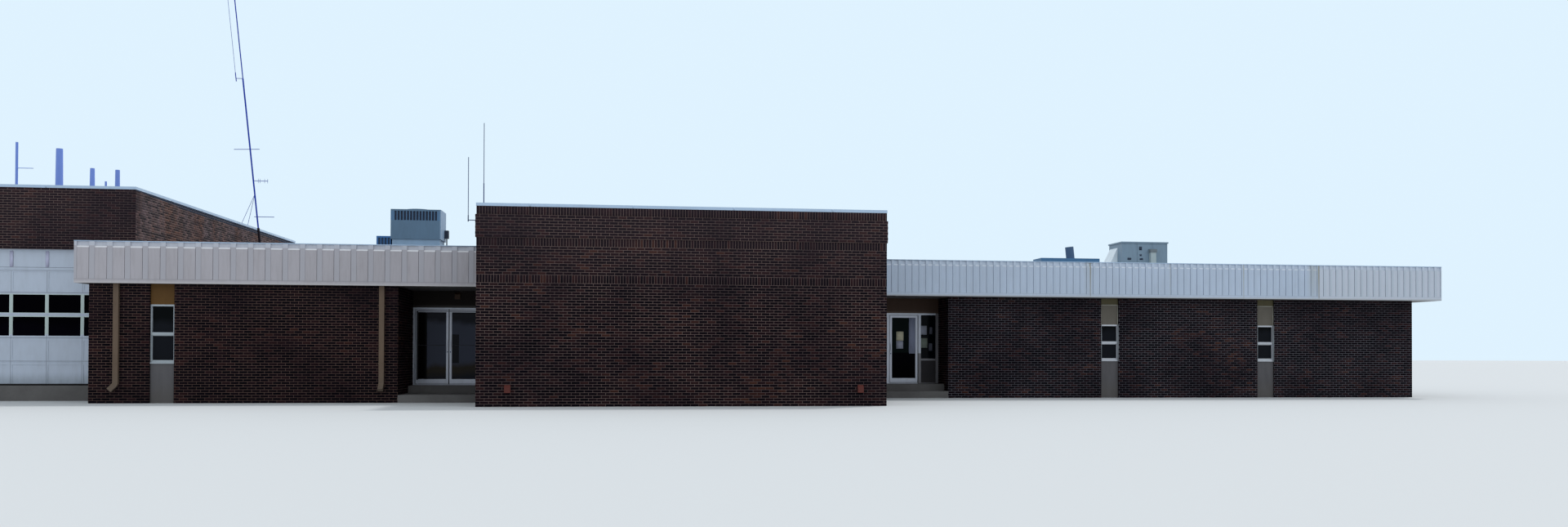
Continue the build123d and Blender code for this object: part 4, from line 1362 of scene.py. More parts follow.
@dataclass(frozen=True)
class Roofs(Assembly):
    """Flat roofs, the ground slab and the copings with their lap strips.

    Attributes:
        pitch: Distance from one lap strip to the next.
        strip: Width of a strip.
        lip: How far a strip stands out of the wall.
        reach: How far it reaches inwards over the coping.
        skirt: How far it comes down over the brick.
        cap: Height of the coping over the brick.
        proud: How far a strip stands over the coping.
    """

    pitch: float = 1.22
    strip: float = 0.02
    lip: float = 0.0075
    reach: float = 0.156
    skirt: float = 0.022
    cap: float = 0.012
    proud: float = 0.0015

    ROOFING = SurfaceFinish("roofing", (0.34, 0.34, 0.33), (0.22, 0.22, 0.21), lap=0.5)
    # The concrete is painted a dark grey as shade on the slabs.
    SHADED_CONCRETE = SurfaceFinish("concrete", (0.15, 0.145, 0.14), (0.095, 0.09, 0.088))

    def lap_strips(self) -> Iterator[Block]:
        """Give the strips over the coping's joints, at one pitch along all four sides.

        Yields:
            The blocks.
        """
        p = self.plan
        for (x0, x1), y0, z in ((p.centre, p.y_centre, p.z_centre),
                                (p.station, p.y_station, p.z_station)):
            level = (z - self.skirt, z + self.cap + self.proud)
            for x in np.arange(x0 + self.pitch / 2, x1, self.pitch):
                yield (x, x + self.strip, y0 - self.lip, y0 + self.reach, *level)
                yield (x, x + self.strip, p.y_rear - self.reach, p.y_rear + self.lip, *level)
            for y in np.arange(y0 + self.pitch, p.y_rear, self.pitch):
                yield (x0 - self.lip, x0 + self.reach, y, y + self.strip, *level)
                yield (x1 - self.reach, x1 + self.lip, y, y + self.strip, *level)

    def build(self) -> None:
        """Dress the slabs and the copings and add the lap strips."""
        self.shop.coat_slot(self.ROOFING, "roofing")
        self.shop.coat_slot(self.SHADED_CONCRETE, "concrete")
        self.shop.coat_nodes(COPING, "copings")
        self.shop.add(boxes("coping_seams", list(self.lap_strips())), COPING)


@dataclass(frozen=True)
class Relief:
    """Colours on a fascia's relief, with a painted highlight and a painted shade line.

    Attributes:
        ledge_highlight: Painted highlight on the sloping ledges over the pans, which face the sky.
        rib: The faces of the ribs.
        gap: The flat sheet in the narrow gaps beside the ribs.
        line: Painted shade line along the feet of the ribs.
    """

    ledge_highlight: Colour
    rib: Colour
    gap: Colour
    line: Colour


@dataclass(frozen=True)
class Fascias(Assembly):
    """Ribbed metal fascias of both wings with their soffits, drip edges and rain pipes.

    Attributes:
        cap_band: Height of the lighter band along the top.
        ledge_highlight: Height of the painted highlight on the ledges below the cap band.
        foot_band: Height of the plain band below the ribs.
        rib_foot_shade: Height of the painted shade line over the foot band, under the ribs' feet.
        drip: Height of the drip edge.
        lip: How far the drip edge stands out.
        rib_depth: Depths behind the front between which the ribs' faces lie.
        ledge_highlight_depth: The same for the ledges' painted highlight.
        gap_depth: The same for the gaps.
        rib_foot_shade_depth: The same for the painted shade line.
        joints: Places of the right fascia's joints from the centre block's left edge.
        stain: Left and right end of the dark patch over the first joint.
        stain_drop: How far the patch comes down from the top.
        gap_top: Room between the gaps' heads and the cap band.
    """

    cap_band: float = 0.062
    ledge_highlight: float = 0.019
    foot_band: float = 0.052
    rib_foot_shade: float = 0.008
    drip: float = 0.009
    lip: float = 0.002
    rib_depth: Pair = (-0.001, 0.0036)
    ledge_highlight_depth: Pair = (0.0037, 0.0143)
    gap_depth: Pair = (0.0144, 0.0160)
    rib_foot_shade_depth: Pair = (-0.001, 0.0200)
    joints: Pair = (8.540, 12.151)
    stain: Pair = (8.49, 8.575)
    stain_drop: float = 0.022
    gap_top: float = 0.001

    SIDES = ("front", "end", "rear")
    # In each relief the first colour is the ledges' painted highlight and the last the painted
    # shade line under the ribs.
    LEFT = Relief((0.80, 0.80, 0.82), (0.425, 0.415, 0.450), (0.36, 0.35, 0.38),
                  (0.34, 0.325, 0.345))
    RIGHT = Relief((0.68, 0.73, 0.80), (0.47, 0.55, 0.665), (0.66, 0.76, 0.90),
                   (0.42, 0.48, 0.57))
    FAR_RIGHT = Relief((0.56, 0.61, 0.68), (0.50, 0.56, 0.635), (0.68, 0.76, 0.86),
                       (0.50, 0.55, 0.62))
    STREAKS = (Streak(8.543, 0.019, 1.1), Streak(8.49, 0.06, 0.25), Streak(9.783, 0.016, 0.5),
               Streak(10.940, 0.020, 0.7), Streak(12.060, 0.13, 0.45),
               Streak(12.145, 0.020, 1.2))
    # The soffits' dark grey is painted shade under the eaves.
    SHADED_SOFFIT = Paint("soffit", (0.10, 0.09, 0.09), (0.06, 0.055, 0.055))
    PIPES = Paint("pipes", (0.138, 0.094, 0.064), (0.092, 0.062, 0.042), 0.6, dirt_top=0.5,
                  gloss=0.2)

    def relief_zones(self, fascia: str, relief: Relief, span: Pair = EVERYWHERE) -> Iterator[Zone]:
        """Turn a relief's colours into zones on the front, the rear and the end.

        Args:
            fascia: The first part of the nodes' names.
            relief: The colours.
            span: The stretch along the front and the rear it holds for.

        Yields:
            The zones, the ledges' painted highlight first and the painted shade line last.
        """
        low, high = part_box(fascia + "_front")
        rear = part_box(fascia + "_rear")[1].y
        end_low, end_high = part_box(fascia + "_end")
        end, inward = ((end_low.x, 1.0) if end_low.x < self.plan.centre[0]
                       else (end_high.x, -1.0))
        top, foot = high.z - self.cap_band, low.z + self.foot_band
        # Painted highlight on the ledges, then the gaps and ribs, then the painted shade line
        # under the ribs' feet.
        for (near, far), z, colour in ((self.ledge_highlight_depth, (top - self.ledge_highlight, top), relief.ledge_highlight),
                                       (self.gap_depth, (foot, top - self.gap_top), relief.gap),
                                       (self.rib_depth, (foot, top), relief.rib),
                                       (self.rib_foot_shade_depth, (foot - self.rib_foot_shade, foot), relief.line)):
            across = tuple(sorted((end + inward * near, end + inward * far)))
            yield Zone(colour, x=span, y=(low.y + near, low.y + far), z=z)
            yield Zone(colour, x=span, y=(rear - far, rear - near), z=z)
            yield Zone(colour, x=across, z=z)

    def left_finish(self) -> FasciaFinish:
        """Give the left fascia's warm grey paint.

        Returns:
            The finish.
        """
        return FasciaFinish("left_fascia", (0.425, 0.403, 0.431), (0.34, 0.318, 0.334),
                            (0.54, 0.58, 0.66), self.plan.z_soffit, self.plan.z_fascia,
                            self.cap_band, foot=(0.50, 0.48, 0.485),
                            zones=tuple(self.relief_zones("left_fascia", self.LEFT)))

    def right_finish(self) -> FasciaFinish:
        """Give the right fascia's cool grey paint with its rust runs and its two joints.

        Returns:
            The finish.
        """
        corner, high = self.plan.centre[0], self.plan.z_fascia
        joints = tuple(corner + joint for joint in self.joints)
        return FasciaFinish(
            "right_fascia", (0.46, 0.54, 0.66), (0.40, 0.46, 0.55), (0.54, 0.61, 0.71),
            self.plan.z_soffit, high, self.cap_band,
            tuple(replace(streak, x=corner + streak.x) for streak in self.STREAKS), joints,
            joints[1], (0.54, 0.56, 0.61), foot=(0.41, 0.43, 0.45),
            zones=(*self.relief_zones("right_fascia", self.RIGHT, (-FAR, joints[1])),
                   *self.relief_zones("right_fascia", self.FAR_RIGHT, (joints[1], FAR)),
                   Zone((0.055, 0.045, 0.050), x=(corner + self.stain[0], corner + self.stain[1]),
                        y=(-FAR, 0.0), z=(high - self.stain_drop, high + 0.1))))

    def drip_edges(self) -> Iterator[Block]:
        """Give the thin folded edges along the tops of both fascias.

        Yields:
            The blocks.
        """
        for wing in ("left", "right"):
            for side in self.SIDES:
                low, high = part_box(f"{wing}_fascia_{side}")
                yield (low.x - self.lip, high.x + self.lip, low.y - self.lip, high.y + self.lip,
                       high.z - self.drip, high.z + self.lip)

    def build(self) -> None:
        """Dress the fascias, soffits and pipes and add the drip edges."""
        for wing, finish in (("left", self.left_finish()), ("right", self.right_finish())):
            self.shop.coat_nodes(finish, *(f"{wing}_fascia_{side}" for side in self.SIDES))
        self.shop.coat_nodes(self.SHADED_SOFFIT, "soffits")
        self.shop.coat_nodes(self.PIPES, "rain_pipes")
        self.shop.add(boxes("fascia_drip_edges", list(self.drip_edges())), COPING)


# Doors and windows


@dataclass(frozen=True)
class OverheadDoors(Assembly):
    """The station's sectional doors with their stops, seals and stiles.

    Attributes:
        stop: Width of the stops.
        stop_depth: How far the stops stand out.
        stop_bevel: Width of the stops' rounded edges.
        seal: Height of the rubber seals.
        seal_depth: Front and back of the seals from the doors' face.
        shifts: Places of the stiles from each door's middle.
        stile: Half the width of the stiles of the top section.
        stile_foot: Level of their feet over the floor.
        stile_gap: Room between their heads and the top.
        stile_depth: Front and back of the stiles from the doors' face.
        panes: Levels of the two rows of panes over the floor.
        seams: Levels of the joints between the sections over the floor.
        boards: Levels between which the plain sections' upright joints run.
        line: Half the width of a joint.
    """

    stop: float = 0.014
    stop_depth: float = 0.012
    stop_bevel: float = 0.002
    seal: float = 0.024
    seal_depth: Pair = (-0.004, 0.02)
    shifts: tuple[float, ...] = (-0.435, 0.0, 0.435)
    stile: float = 0.021
    stile_foot: float = 1.543
    stile_gap: float = 0.024
    stile_depth: Pair = (-0.0012, 0.004)
    panes: tuple[Pair, ...] = ((0.668, 0.905), (0.945, 1.192))
    seams: tuple[float, ...] = (0.318, 0.621, 1.212, 1.496, 1.540)
    boards: tuple[Pair, ...] = ((0.0, 0.655), (1.212, 1.496))
    line: float = 0.003

    STILE_PAINT = Paint("door_stile", (0.49, 0.50, 0.66), (0.42, 0.43, 0.57), 0.5, 0.5)
    RUBBER = Paint("rubber", (0.008, 0.008, 0.009), (0.014, 0.014, 0.014), 0.5, 0.8)

    def finish(self) -> Paint:
        """Give the doors' paint with the muntins and the joints of the sections and stiles.

        Returns:
            The paint.
        """
        floor, line = self.plan.FLOOR, self.line
        zones = [Zone((0.48, 0.57, 0.545), z=(floor + z0, floor + z1)) for z0, z1 in self.panes]
        zones += [Zone((0.21, 0.235, 0.285), z=(floor + z - line, floor + z + line))
                  for z in self.seams]
        zones += [Zone((0.25, 0.28, 0.335), x=(x - line, x + line), z=(floor + z0, floor + z1))
                  for x in self.uprights() for z0, z1 in self.boards]
        return Paint("overhead_door", (0.480, 0.540, 0.635), (0.380, 0.42, 0.485), 0.5, 0.5,
                     dirt_low=0.22, dirt_top=0.40, dirt=(0.085, 0.11, 0.12), zones=tuple(zones))

    def uprights(self) -> Iterator[float]:
        """Give the places of the upright joints along X."""
        for a, b in self.plan.doors:
            yield from ((a + b) / 2 + shift for shift in self.shifts)

    def stops(self) -> Iterator[Block]:
        """Give the white stops at both sides and over the head of each door.

        Yields:
            The blocks.
        """
        low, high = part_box("overhead_doors")
        depth = (low.y - self.stop_depth, low.y)
        for a, b in self.plan.doors:
            for x in (a, b - self.stop):
                yield (x, x + self.stop, *depth, low.z, high.z)
            yield (a, b, *depth, high.z - self.stop, high.z)

    def seals(self) -> Iterator[Block]:
        """Give the dark rubber seals along the feet of the doors.

        Yields:
            The blocks.
        """
        low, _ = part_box("overhead_doors")
        front, back = self.seal_depth
        for a, b in self.plan.doors:
            yield (a + self.stop, b - self.stop, low.y + front, low.y + back, low.z,
                   low.z + self.seal)

    def stiles(self) -> Iterator[Block]:
        """Give the flat stiles over the top section, above its joint line.

        Yields:
            The blocks.
        """
        low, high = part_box("overhead_doors")
        front, back = self.stile_depth
        for x in self.uprights():
            yield (x - self.stile, x + self.stile, low.y + front, low.y + back,
                   self.plan.FLOOR + self.stile_foot, high.z - self.stile_gap)

    def build(self) -> None:
        """Dress the doors and their panes and add the trims."""
        paint = self.finish()
        self.shop.coat_nodes(paint, "overhead_doors")
        self.shop.coat_nodes(BLACK_GLASS, "overhead_door_glass")
        self.shop.add(boxes("overhead_door_stops", list(self.stops()), bevel=self.stop_bevel),
                      paint)
        self.shop.add(boxes("overhead_door_seals", list(self.seals())), self.RUBBER)
        self.shop.add(boxes("overhead_door_stiles", list(self.stiles())), self.STILE_PAINT)


@dataclass(frozen=True)
class WindowBays(Assembly):
    """Windows of both wings with the panels over and under them.

    Attributes:
        inset: Room between a panel's trim and the brick.
        trim: Width of the trims.
        trim_depth: How far a trim stands in front of and behind the panels' face.
        rail: Half the height of the trim along the panels' joint.
        stop: Width of the stops beside the windows.
        setback: How far the stops stand behind the wall's face.
        porch_side: Length of the left wing's front beside the porch, where its frames end.
    """

    inset: float = 0.004
    trim: float = 0.009
    trim_depth: float = 0.002
    rail: float = 0.005
    stop: float = 0.011
    setback: float = 0.004
    porch_side: float = 0.5

    TRIM_PAINT = Paint("panel_trim", (0.42, 0.41, 0.35), (0.34, 0.33, 0.28), 0.4, gloss=0.2)
    STOP_PAINT = Paint("window_stop", (0.28, 0.31, 0.33), (0.20, 0.22, 0.235), 0.5, gloss=0.2)

    def frame_finish(self) -> Paint:
        """Give the frames' paint, a little duller in the left wing.

        Returns:
            The paint.
        """
        p = self.plan
        left = (p.left_wing[0], p.left_wing[1] - self.porch_side)
        return Paint("window_frames", (0.55, 0.58, 0.66), (0.38, 0.40, 0.455), 0.5, 0.38, 0.3,
                     dirt_top=0.3,
                     zones=(Zone((0.52, 0.54, 0.58), x=p.right_wing),
                            Zone((0.36, 0.40, 0.43), x=left)))

    def panel_finishes(self) -> tuple[Paint, Paint]:
        """Give the paints of the lower and the upper panels.

        Returns:
            Both paints.
        """
        p = self.plan
        right_side = (p.centre[1], FAR)
        porch = (p.centre[1], p.right_wing[0])
        # In the right porch the lower panels are painted darker as shade.
        lower = Paint("lower_panel", (0.110, 0.105, 0.110), (0.070, 0.066, 0.070), 0.6,
                      dirt_top=0.35, gloss=0.15,
                      zones=(Zone((0.030, 0.027, 0.031), x=porch),))
        upper = Paint("tan_panel", (0.118, 0.060, 0.018), (0.075, 0.038, 0.012), 0.5, gloss=0.1,
                      zones=(Zone((0.112, 0.098, 0.055), x=right_side,
                                  z=(p.z_joint, p.z_joint + 1.0)),
                             Zone((0.150, 0.135, 0.112), x=right_side, z=(0.0, p.z_joint))))
        return lower, upper

    def glass(self) -> GlassFinish:
        """Give the windows' glass, darker in the right entry's sidelight."""
        p = self.plan
        return GlassFinish("glass", zones=(Zone((0.0008, 0.0022, 0.0042),
                                                x=(p.centre[1], p.right_wing[0])),))

    def trims(self) -> Iterator[Block]:
        """Give the thin light trims round the lower part of the right wing's upper panels.

        Yields:
            The blocks.
        """
        low_edge, high_edge = self.plan.z_joint - self.rail, self.plan.z_joint + self.rail
        for a, b in self.plan.right_bays:
            low, high = self.plan.part_box("upper_panels", (a, b))
            for y in (low[1], high[1]):
                depth = (y - self.trim_depth, y + self.trim_depth)
                yield (a + self.inset, b - self.inset, *depth, low_edge, high_edge)
                for x in (a + self.inset, b - self.inset - self.trim):
                    yield (x, x + self.trim, *depth, low[2], low_edge)

    def stops(self) -> Iterator[Block]:
        """Give the thin stops in the brick reveals beside the right wing's windows.

        Yields:
            The blocks.
        """
        p = self.plan
        for a, b in p.right_bays:
            low, high = p.part_box("window_frames", (a, b))
            for depth in ((p.y_right + self.setback, low[1]), (high[1], p.y_rear - self.setback)):
                for x in (a, b - self.stop):
                    yield (x, x + self.stop, *depth, low[2], high[2])

    def build(self) -> None:
        """Dress the windows and panels and add the trims and stops."""
        lower, upper = self.panel_finishes()
        self.shop.coat_nodes(self.frame_finish(), "window_frames")
        self.shop.coat_nodes(self.glass(), "fixed_glass")
        self.shop.coat_nodes(lower, "lower_panels")
        self.shop.coat_nodes(upper, "upper_panels")
        self.shop.add(boxes("panel_trims", list(self.trims())), self.TRIM_PAINT)
        self.shop.add(boxes("window_stops", list(self.stops())), self.STOP_PAINT)


class Backing(Enum):
    """What a sheet hangs on, by the body that carries it."""

    LEAF = "right_leaf"
    SIDELIGHT = BODY


@dataclass(frozen=True)
class Sheets:
    """Blank sheets of one kind on one pane.

    Attributes:
        name: Piece name.
        backing: The pane they hang on.
        finish: Their paper.
        spots: For each sheet its left and right edge from the centre block's left edge, and its
            foot and top over the floor.
    """

    name: str
    backing: Backing
    finish: Paint
    spots: tuple[tuple[Pair, Pair], ...]


@dataclass(frozen=True)
class Entries(Assembly):
    """Both glazed entries with their leaves, locks, bar lines, sheets and porch light.

    Attributes:
        stile: Width of a leaf's stiles and top rail.
        bottom_rail: Height of a leaf's bottom rail.
        frame_line: Width of the jamb's bright part on the outer stile.
        rail_line: Height of the top rail's bright part.
        left_overlap: Height of the transom panel's edge over the left header.
        right_overlap: The same over the right header.
        meeting: Half the width of the dull line where the pair meets.
        jamb: Width of the right frame's jamb at the wall, painted dull as shade.
        knee: Width of the frame round the knee panel, from the wall, painted dull as shade.
        knee_top: Level of its top.
        pane_depth: Depth of a sidelight's pane behind the frame's face.
        paper: Thickness of a sheet.
        bar_level: Level of the bar lines over the floor.
        bar: Height of a bar line.
        lock_inset: Distance of a lock from the edge of its leaf.
        lock_level: Level of the locks over the floor.
        lock_radius: Radius of a lock.
        lock_depth: Back and front of a lock behind the entry frame's face.
        lighter: Share of the right leaf's pane, from its foot, that stays black.
    """

    stile: float = 0.034
    bottom_rail: float = 0.064
    frame_line: float = 0.013
    rail_line: float = 0.024
    left_overlap: float = 0.030
    right_overlap: float = 0.024
    meeting: float = 0.007
    jamb: float = 0.046
    knee: float = 0.325
    knee_top: float = 0.66
    pane_depth: float = 0.028
    paper: float = 0.0012
    bar_level: float = 0.545
    bar: float = 0.006
    lock_inset: float = 0.017
    lock_level: float = 0.455
    lock_radius: float = 0.008
    lock_depth: Pair = (0.020, 0.011)
    lighter: float = 0.42

    # Painted shade on the right frame's jamb and knee frame in the porch corner.
    JAMB_SHADE = (0.17, 0.165, 0.18)
    KNEE_FRAME_SHADE = (0.18, 0.175, 0.19)
    PANEL = (0.013, 0.008, 0.006)
    RIGHT_PANEL = (0.062, 0.036, 0.025)
    STOP = (0.020, 0.021, 0.026)
    MEETING = (0.15, 0.16, 0.185)
    BAR_LINE = Paint("bar_line", (0.060, 0.064, 0.075), (0.045, 0.048, 0.056), 0.5, 0.5)
    PALE = Paint("pale_paper", (0.38, 0.40, 0.49), (0.30, 0.32, 0.39), 0.3, 0.9)
    SHEETS = (
        Sheets("leaf_paper_upper", Backing.LEAF,
               Paint("yellow_paper", (0.62, 0.59, 0.43), (0.52, 0.49, 0.35), 0.3, 0.9),
               (((5.828, 5.938), (0.652, 0.790)),)),
        Sheets("leaf_paper_lower", Backing.LEAF, PALE, (((5.828, 5.934), (0.530, 0.648)),)),
        Sheets("sidelight_paper_upper", Backing.SIDELIGHT, PALE,
               (((6.210, 6.302), (0.745, 0.880)),)),
        Sheets("leaf_banner", Backing.LEAF,
               Paint("blue_paper", (0.300, 0.330, 0.460), (0.24, 0.265, 0.38), 0.5, 0.9),
               (((6.022, 6.128), (0.455, 1.010)),)),
        Sheets("sidelight_paper_lower", Backing.SIDELIGHT,
               Paint("green_paper", (0.230, 0.265, 0.225), (0.17, 0.20, 0.17), 0.3, 0.9),
               (((6.210, 6.312), (0.545, 0.690)),)),
        Sheets("sidelight_side_papers", Backing.SIDELIGHT,
               Paint("dim_paper", (0.100, 0.105, 0.140), (0.07, 0.072, 0.10), 0.4, 0.9),
               (((6.345, 6.388), (0.752, 0.860)), ((6.335, 6.388), (0.500, 0.612)))))
    PAIR = {"left_entry_leaf_a": "left_leaf_a", "left_entry_leaf_b": "left_leaf_b"}

    def porches(self) -> tuple[Pair, Pair]:
        """Give the left and the right porch's stretch along X."""
        p = self.plan
        return (p.left_wing[1], p.centre[0]), (p.centre[1], p.right_wing[0])

    def frame_finish(self) -> Paint:
        """Give the frames' paint.

        The jamb at the right wall and the frame of the knee panel are painted dull as shade in the
        porch corner. The transom panels run down over the headers, the inner edges of the left
        pair's outer stile and top rails are dark stops, and the line where the pair meets is dull.

        Returns:
            The paint.
        """
        left, right = self.porches()
        wall = right[1]
        left_top, right_top = (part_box(f"{side}_entry_frame")[1].z for side in ("left", "right"))
        (a_low, a_high), (b_low, b_high) = (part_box(leaf) for leaf in self.PAIR)
        rail = a_high.z - self.stile
        middle = (a_high.x + b_low.x) / 2
        edge = a_low.x + self.frame_line
        return Paint(
            "entry_frames", (0.55, 0.58, 0.66), (0.38, 0.40, 0.455), 0.5, 0.38, 0.3, dirt_top=0.3,
            # Painted shade on the jamb at the right wall and on the knee panel's frame.
            zones=(Zone(self.JAMB_SHADE, x=(wall - self.jamb, wall)),
                   Zone(self.KNEE_FRAME_SHADE, x=(wall - self.knee, wall), z=(0.0, self.knee_top)),
                   Zone(self.PANEL, x=left, z=(left_top - self.left_overlap, left_top + 0.01)),
                   Zone(self.RIGHT_PANEL, x=right,
                        z=(right_top - self.right_overlap, right_top + 0.01)),
                   Zone(self.STOP, x=(edge, a_low.x + self.stile),
                        z=(a_low.z + self.bottom_rail, rail)),
                   Zone(self.STOP, x=(edge, b_high.x), z=(rail, a_high.z - self.rail_line)),
                   Zone(self.MEETING, x=(middle - self.meeting, middle + self.meeting),
                        z=(a_low.z, a_high.z))))

    def pair_glass(self) -> GlassFinish:
        """Give the left pair's glass with the dark strips where the porch wall mirrors in it.

        Returns:
            The glass.
        """
        zones = []
        for leaf, share, foot, top, colour in (
                ("a", 0.31, -0.1, 1.1, (0.0004, 0.0005, 0.0008)),
                ("b", 0.25, 0.24, 0.67, (0.0022, 0.0042, 0.0100))):
            low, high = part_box(f"left_entry_leaf_{leaf}_glass")
            tall = high.z - low.z
            zones.append(Zone(colour, x=(low.x - 0.01, low.x + share * (high.x - low.x)),
                              z=(low.z + foot * tall, low.z + top * tall)))
        return GlassFinish("entry_glass", (0.0022, 0.0042, 0.0125), (0.055, 0.065, 0.102),
                           (0.0260, 0.0190, 0.0100), 0.44, 0.54, 0.99, 0.075, tuple(zones))

    def leaf_glass(self) -> GlassFinish:
        """Give the right leaf's black glass with its lighter upper part.

        Returns:
            The glass.
        """
        low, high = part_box("right_entry_leaf_glass")
        return replace(BLACK_GLASS, name="leaf_glass", zones=(
            Zone((0.0055, 0.0095, 0.0095), x=(low.x - 0.01, high.x + 0.01),
                 y=(low.y - 0.1, high.y + 0.1),
                 z=(low.z + self.lighter * (high.z - low.z), high.z + 0.1)),))

    def dress(self) -> None:
        """Give the entries' nodes their finishes."""
        left, right = self.porches()
        frames, shop = self.frame_finish(), self.shop
        shop.coat_nodes(frames, "left_entry_frame", "right_entry_frame", *self.PAIR,
                        "right_entry_leaf", "right_entry_fixed_leaf")
        shop.coat_nodes(self.pair_glass(), *(f"{leaf}_glass" for leaf in self.PAIR))
        shop.coat_nodes(self.leaf_glass(), "right_entry_leaf_glass")
        shop.coat_nodes(
            Paint("brown_panel", self.PANEL, (0.008, 0.005, 0.005), 0.5, gloss=0.1,
                  zones=(Zone(self.RIGHT_PANEL, x=(right[0], FAR)),)),
            "transom_panels")
        shop.coat_nodes(
            Paint("fixtures", (0.110, 0.026, 0.020), (0.07, 0.017, 0.013), 0.5, gloss=0.2,
                  zones=(Zone((0.058, 0.027, 0.013), x=(left[0], left[1] - 0.02)),)),
            "wall_fixtures")

    def sheets(self) -> None:
        """Hang the blank sheets on the right leaf and on the sidelight beside it."""
        corner, floor = self.plan.centre[0], self.plan.FLOOR
        backs = {Backing.LEAF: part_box("right_entry_leaf_glass")[0].y,
                 Backing.SIDELIGHT: self.plan.y_right_door + self.pane_depth}
        for kind in self.SHEETS:
            back = backs[kind.backing]
            self.shop.add(boxes(kind.name, [
                (corner + x0, corner + x1, back - self.paper, back, floor + z0, floor + z1)
                for (x0, x1), (z0, z1) in kind.spots], kind.backing.value), kind.finish)

    def bar_lines(self) -> None:
        """Add the thin pale lines where the push bars show through the left leaves' panes."""
        level = self.plan.FLOOR + self.bar_level
        for leaf, body in self.PAIR.items():
            low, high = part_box(leaf + "_glass")
            self.shop.add(boxes(f"{leaf}_bar_line", [
                (low.x, high.x, low.y - self.paper, low.y, level, level + self.bar)], body),
                self.BAR_LINE)

    def locks(self) -> None:
        """Add the round lock cylinders of the moving leaves."""
        p = self.plan
        z = p.FLOOR + self.lock_level
        for leaf, body in self.PAIR.items():
            self.lock(leaf, body, p.y_left_door, z)
        self.lock("right_entry_leaf", "right_leaf", p.y_right_door, z)

    def lock(self, leaf: str, body: str, door: float, z: float) -> None:
        """Add one lock on the leaf's meeting stile, which leaf a has at its right.

        Args:
            leaf: CAD node of the leaf.
            body: CAD body that carries it.
            door: Y of the entry frame's face.
            z: Level of the lock.
        """
        low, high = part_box(leaf)
        x = high.x - self.lock_inset if leaf.endswith("_a") else low.x + self.lock_inset
        route = [(x, door + depth, z) for depth in self.lock_depth]
        self.shop.add(tube(f"{leaf}_lock", route, self.lock_radius, 16, body), DARK_METAL)

    def build(self) -> None:
        """Dress the entries and add their fittings."""
        self.dress()
        self.bar_lines()
        self.sheets()
        self.locks()


# Roof gear


